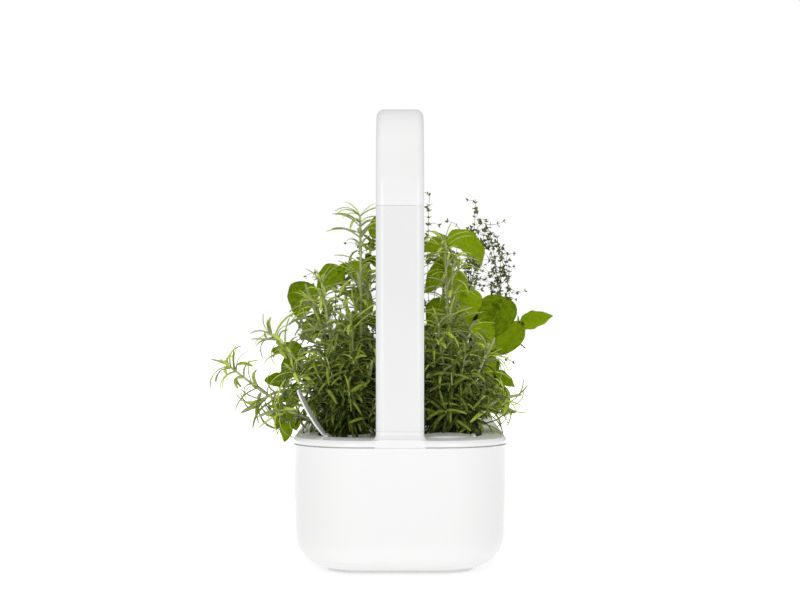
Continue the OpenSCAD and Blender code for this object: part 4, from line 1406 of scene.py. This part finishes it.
# The basil on the left, seen between the rosemary shoots.
BASIL_LEFT = shoots(
    ((-4, 0, 0), (-20, 0, 60), (-38, 0, 128)),
    ((4, -6, 0), (-2, -8, 80), (-8, -6, 152)),
    ((6, 6, 0), (10, 10, 110), (20, 8, 182)),
    ((-10, 4, 0), (-36, 4, 44), (-66, 2, 24)),
    ((-6, -6, 0), (-24, -8, 40), (-52, -8, 72)),
)
BASIL_LEFT_BLADES = blades(
    ((-39, -3, 137), (-0.5, -0.12, -0.86), (-0.25, -0.93, 0.3), 38, 0.7, 0.42, 1.4),
    ((-34, 3, 118), (0.5, 0.7, 0.1), (0, -0.3, 0.9), 28, 1.0, 0.4),
    ((-9, -8, 153), (-0.75, -0.3, -0.55), (-0.2, -0.8, 0.55), 36, 0.8, 0.4, 1.25),
    ((20, -2, 150), (-0.85, -0.3, 0.35), (0, -0.8, 0.6), 34, 0.8, 0.55, 1.2),
    ((26, 4, 182), (-0.12, -0.2, 0.95), (-0.3, -0.9, 0.1), 26, 0.8, 0.45),
    ((22, 10, 176), (-0.6, 0.6, 0.3), (0.2, -0.3, 0.9), 26, 1.0, 0.5),
    ((2, -4, 132), (0.5, -0.5, -0.6), (0, -0.8, 0.6), 34, 0.9, 0.4),
    ((-26, -4, 104), (-0.7, -0.4, -0.4), (-0.1, -0.8, 0.6), 34, 0.9, 0.3),
    ((-48, -6, 72), (-0.85, -0.3, 0.2), (-0.1, -0.75, 0.65), 33, 0.9, 0.36),
    ((-52, -8, 68), (-0.6, -0.3, -0.75), (-0.2, -0.9, 0.3), 32, 0.8, 0.28),
    ((-38, -8, 62), (-0.1, -0.4, -0.9), (0, -0.9, 0.3), 32, 0.9, 0.2),
    ((-46, 4, 84), (0.5, -0.3, 0.6), (0, -0.8, 0.6), 28, 0.9, 0.35),
    ((-22, -4, 64), (0.4, -0.5, -0.7), (0, -0.8, 0.5), 32, 0.9, 0.18),
    ((-62, -4, 38), (-0.8, -0.2, 0.3), (-0.2, -0.8, 0.6), 26, 0.9, 0.36),
    ((-56, -4, 36), (-0.3, -0.4, -0.85), (-0.2, -0.9, 0.3), 26, 0.9, 0.3),
    ((-70, 0, 18), (-0.3, -0.1, -0.95), (-0.35, -0.93, 0), 28, 0.7, 0.3),
    ((-65, -2, 0), (-0.15, 0, -1), (-0.1, -0.95, 0.1), 22, 0.7, 0.5),
    ((-60, -2, 12), (0.3, 0, -0.95), (0.2, -0.95, 0.1), 23, 0.7, 0.4),
    ((-20, 2, 84), (0.6, 0.8, 0.1), (0, -0.3, 0.9), 32, 0.9, 0.35),
)
# The basil in the middle, behind the arm.
BASIL_CENTRE = shoots(
    ((-5, -4, 0), (-4, -20, 90), (-2, -26, 160)),
    ((4, 5, 0), (2, 22, 80), (0, 30, 176)),
    ((0, 0, 0), (0, 2, 90), (0, 2, 148)),
)
BASIL_CENTRE_BLADES = blades(
    ((-2, -30, 164), (0.1, -0.9, 0.2), (0, 0.3, 0.9), 28),
    ((-3, -22, 162), (-0.3, 0.8, 0.3), (0, -0.4, 0.9), 20),
    ((0, 33, 180), (0.2, 0.9, 0.1), (0, -0.2, 0.9), 28, 1.0, 0.7),
    ((0, 26, 178), (0, -0.8, 0.4), (0, 0.4, 0.9), 20),
    ((0, -2, 152), (0.4, -0.9, 0), (0, 0, 1), 28, 1.1, 0.4),
    ((0, 6, 152), (-0.5, 0.8, 0.1), (0, -0.1, 1), 24, 1.0, 0.4),
    ((-4, -18, 110), (0.5, -0.8, 0.1), (0, -0.2, 1), 30, 1.0, 0.3),
    ((2, 18, 100), (-0.5, 0.8, 0.1), (0, 0.2, 1), 30, 1.0, 0.3),
)
# The basil on the right, with big leaves high up and far out.
BASIL_RIGHT = shoots(
    ((-4, 0, 0), (-6, 0, 90), (-4, 0, 174)),
    ((4, -4, 0), (16, -4, 70), (50, -4, 118)),
    ((8, 4, 0), (40, 4, 60), (70, 0, 98)),
    ((6, 8, 0), (26, 12, 46), (44, 6, 44)),
    ((0, -6, 0), (4, -8, 60), (14, -6, 116)),
)
BASIL_RIGHT_BLADES = blades(
    ((4, -4, 178), (-0.95, -0.1, 0.0), (0.1, -0.75, 0.65), 34, 0.9, 0.55),
    ((-2, -6, 180), (0.9, -0.1, 0.05), (0.35, -0.6, 0.75), 52, 1.8, 0.72),
    ((-6, 2, 160), (-0.5, 0.6, 0.3), (0, -0.4, 0.9), 28, 1.0, 0.5),
    ((0, -4, 158), (-0.6, -0.4, -0.6), (0, -0.8, 0.5), 38, 0.8, 0.5),
    ((4, -6, 150), (0.55, -0.4, -0.75), (0.1, -0.85, 0.5), 42, 0.8, 0.65),
    ((-4, -4, 124), (-0.45, -0.5, -0.7), (0, -0.8, 0.5), 36, 0.9, 0.42),
    ((12, -8, 124), (0.2, -0.5, -0.8), (0.1, -0.85, 0.5), 36, 0.9, 0.5),
    ((14, 0, 116), (0.6, -0.3, -0.75), (0, -0.85, 0.5), 38, 0.8, 0.25),
    ((56, -4, 124), (-0.42, -0.35, -0.85), (0.1, -0.9, 0.4), 48, 0.8, 0.45, 1.25),
    ((22, -6, 86), (0.75, -0.4, -0.45), (0, -0.85, 0.5), 34, 0.8, 0.2),
    ((44, 4, 112), (0.2, 0.9, 0.1), (0, -0.3, 0.9), 28, 0.9, 0.5),
    ((71, -8, 98), (-0.62, -0.2, -0.75), (0.1, -0.9, 0.35), 41, 0.7, 0.75),
    ((70, -6, 98), (0.15, -0.3, -0.95), (0.2, -0.9, 0.3), 18, 0.8, 0.5),
    ((71, -2, 96), (0.95, -0.12, 0.1), (-0.1, -0.75, 0.65), 36, -0.6, 0.92),
    ((70, 6, 98), (0.3, 0.9, 0.1), (0, -0.3, 0.9), 22, 0.9, 0.6),
    ((44, 0, 64), (-0.1, -0.4, -0.9), (0, -0.85, 0.5), 26, 0.9, 0.35),
    ((40, 0, 46), (0.7, -0.4, -0.1), (0.1, -0.8, 0.6), 30, 0.9, 0.6),
    ((50, 2, 36), (0.3, -0.2, -0.9), (0.1, -0.9, 0.3), 30, 0.9, 0.62),
    ((36, 2, 32), (0.4, -0.5, -0.6), (0, -0.85, 0.5), 28, 0.9, 0.6),
    ((46, 14, 40), (0.4, 0.9, 0), (0, -0.2, 0.9), 26, 0.9, 0.5),
    ((16, -8, 62), (0.2, -0.8, -0.5), (0, -0.5, 0.9), 32, 0.9, 0.15),
    ((30, -10, 100), (0.35, -0.3, -0.85), (0.2, -0.9, 0.3), 38, 0.8, 0.8, 1.15),
    ((24, -12, 132), (-0.2, -0.3, -0.9), (-0.1, -0.9, 0.3), 34, 0.8, 0.85, 1.1),
    ((34, -8, 72), (0.3, -0.4, -0.85), (0.1, -0.9, 0.35), 34, 0.8, 0.7, 1.1),
)
# The thyme in the middle, in front and at the back.
THYME_CENTRE = shoots(
    ((-6, -6, 0), (-10, -18, 90), (-8, -14, 166)), ((6, -5, 0), (14, -10, 80), (14, -20, 148)),
    ((-5, 7, 0), (-12, 20, 70), (-14, 26, 128)), ((6, 6, 0), (8, 22, 90), (12, 20, 172)),
    ((0, 0, 0), (-2, 2, 80), (0, 4, 140)),
)
# The thyme on the left at the back.
THYME_LEFT = shoots(
    ((-6, -6, 0), (-20, -16, 90), (-45, -20, 154)), ((6, -5, 0), (2, -10, 110), (-6, -12, 160)),
    ((-8, 7, 0), (-40, 20, 60), (-64, 24, 104)), ((6, 6, 0), (4, 24, 100), (4, 28, 180)),
    ((-10, 0, 0), (-26, 4, 90), (-22, 10, 140)), ((0, 4, 0), (-14, 10, 50), (-36, 12, 96)),
)
# The thyme on the right at the back, tall and leaning out.
THYME_RIGHT = shoots(
    ((-8, -6, 0), (-22, -14, 120), (-16, -16, 236)), ((8, -5, 0), (30, -10, 110), (34, -12, 230)),
    ((8, 7, 0), (78, 14, 96), (58, 10, 192)), ((10, 0, 0), (62, 0, 56), (72, 4, 154)),
    ((10, 3, 0), (50, 6, 90), (70, 2, 172)), ((-4, 8, 0), (4, 24, 100), (18, 28, 200)),
    ((2, -8, 0), (26, -14, 90), (46, -14, 208)), ((6, 2, 0), (38, 6, 70), (54, 8, 130)),
    ((4, 4, 0), (30, 8, 100), (28, 6, 194)), ((5, -3, 0), (30, -4, 90), (40, -6, 184)),
    ((-6, 2, 0), (-14, 4, 90), (-8, 8, 176)), ((6, 0, 0), (40, 8, 80), (64, -8, 122)),
    ((6, 0, 0), (46, 0, 300), (74, 2, 112)), ((2, 4, 0), (34, 6, 290), (62, 4, 128)),
    ((0, -4, 0), (40, -8, 320), (58, -6, 140)),
)


# ---------------------------------------------------------------- studio


@dataclass(frozen=True)
class SoftLamp:
    """A rectangular studio light aimed at a point."""

    name: str
    place: Point
    width: float
    height: float
    power: float
    aim: Point = (0.0, 0.0, 0.2)
    mirrored: bool = True  # whether glossy pieces show it

    def hang(self) -> None:
        """Hangs the light in the scene."""
        data = bpy.data.lights.new(self.name, "AREA")
        data.shape, data.energy = "RECTANGLE", self.power
        data.size, data.size_y = self.width, self.height
        lamp = put(self.name, data)
        lamp.location = self.place
        lamp.visible_glossy = self.mirrored
        way = Vector(self.aim) - Vector(self.place)
        lamp.rotation_euler = way.to_track_quat("-Z", "Y").to_euler()


@dataclass
class Studio:
    """Camera, soft lights, pale floor and white surroundings."""

    distance: float = 1.95  # of the camera from the middle, in metres
    eye: float = 0.242  # the camera's height, in metres
    lens: float = 88.2  # focal length, in millimetres
    sensor: float = 36.0  # width, in millimetres
    horizon: float = -7 / 800  # how far the picture is shifted, as a share of its width
    floor_half: float = 8.0  # half the floor's length, in metres
    floor_tone: float = 0.86
    surround: float = 0.56  # strength of the light from all round
    bounce: float = 0.3  # least glow of the floor, as the light meets it
    glow: tuple[float, float] = (0.42, 1.0)  # near the object and far from it
    fade: tuple[float, float] = (0.45, 1.5)  # distances between which the glow rises
    lamps: tuple[SoftLamp, ...] = (
        SoftLamp("left_light", (-0.9, -2.5, 0.6), 1.2, 1.3, 9.6),
        SoftLamp("right_light", (1.1, -2.4, 0.5), 1.0, 1.3, 7.4),
        SoftLamp("top_light", (-0.1, -0.2, 2.2), 1.6, 1.6, 14.0, mirrored=False),
    )

    def camera(self) -> None:
        """Sets the camera level, looking along +Y, with the horizon where the photograph has it."""
        data = bpy.data.cameras.new("camera")
        data.lens, data.sensor_width, data.shift_y = self.lens, self.sensor, self.horizon
        data.clip_start, data.clip_end = 0.05, 60.0
        camera = put("camera", data)
        camera.location = (0.0, -self.distance, self.eye)
        camera.rotation_euler = (math.pi / 2, 0.0, 0.0)
        bpy.context.scene.camera = camera

    def floor(self) -> None:
        """Lays the floor, white to the camera and plain to the light, so that it shows shadow."""
        half = self.floor_half
        mesh = bpy.data.meshes.new("floor")
        corners = [(-half, -half, 0), (half, -half, 0), (half, half, 0), (-half, half, 0)]
        mesh.from_pydata(corners, [], [(0, 1, 2, 3)])
        floor = put("floor", mesh)
        paper = bpy.data.materials.new("floor_paper")
        paper.use_nodes = True
        sheet = Sheet(paper.node_tree)
        shader = paper.node_tree.nodes["Principled BSDF"]
        shader.inputs["Base Color"].default_value = rgba((self.floor_tone,) * 3)
        shader.inputs["Roughness"].default_value = 0.9
        shader.inputs["Specular IOR Level"].default_value = 0.1
        shader.inputs["Emission Color"].default_value = rgba((1.0, 1.0, 1.0))
        away = sheet.add("VectorMath", {0: sheet.here()}, operation="LENGTH")
        glow = sheet.remap(away.outputs["Value"], *self.fade, *self.glow)
        path = sheet.add("LightPath")
        seen = sheet.math("MAXIMUM", path.outputs["Is Camera Ray"], path.outputs["Is Glossy Ray"])
        glow = sheet.math("MULTIPLY", seen, glow)
        sheet.feed(shader, "Emission Strength", sheet.math("MAXIMUM", glow, self.bounce))
        mesh.materials.append(paper)

    def surroundings(self) -> None:
        """Makes the world white to the camera and through the window, and plain light otherwise."""
        world = bpy.data.worlds.new("studio_world")
        bpy.context.scene.world = world
        world.use_nodes = True
        sheet = Sheet(world.node_tree)
        path = sheet.add("LightPath")
        seen = sheet.math("MAXIMUM", path.outputs["Is Camera Ray"],
                          path.outputs["Is Transmission Ray"])
        strength = sheet.remap(seen, 0.0, 1.0, self.surround, 1.0)
        back = world.node_tree.nodes["Background"]
        back.inputs["Color"].default_value = rgba((1.0, 1.0, 1.0))
        sheet.feed(back, "Strength", strength)

    def build(self) -> None:
        """Builds the whole studio."""
        self.camera()
        self.floor()
        self.surroundings()
        for lamp in self.lamps:
            lamp.hang()
        bpy.context.scene.view_settings.view_transform = "Standard"


def main() -> None:
    """Builds the studio, dresses the sub-assemblies in order and grows the herbs."""
    logging.basicConfig(level=logging.INFO, format="%(name)s: %(message)s")
    Studio().build()
    for assembly in (Tank(), Lid(), Lamp()):
        assembly.dress()
    pods = {number: Pod(number) for number in range(1, 10)}
    for pod in pods.values():
        pod.dress()
        pod.grow_sponge()
    herbs = [
        Rosemary(pods[1], ROSEMARY_LEFT), Thyme(pods[2], THYME_CENTRE),
        Rosemary(pods[3], ROSEMARY_RIGHT, side_spacing=40 * MM, shade=(0.2, 1.0)),
        Basil(pods[4], BASIL_LEFT, blades=BASIL_LEFT_BLADES),
        Basil(pods[5], BASIL_CENTRE, blades=BASIL_CENTRE_BLADES),
        Basil(pods[6], BASIL_RIGHT, blades=BASIL_RIGHT_BLADES),
        Thyme(pods[7], THYME_LEFT), Thyme(pods[8], THYME_CENTRE),
        Thyme(pods[9], THYME_RIGHT, cushion=replace(Thyme.cushion, count=12)),
    ]
    for herb in herbs:
        herb.build()


if __name__ == "__main__":
    main()
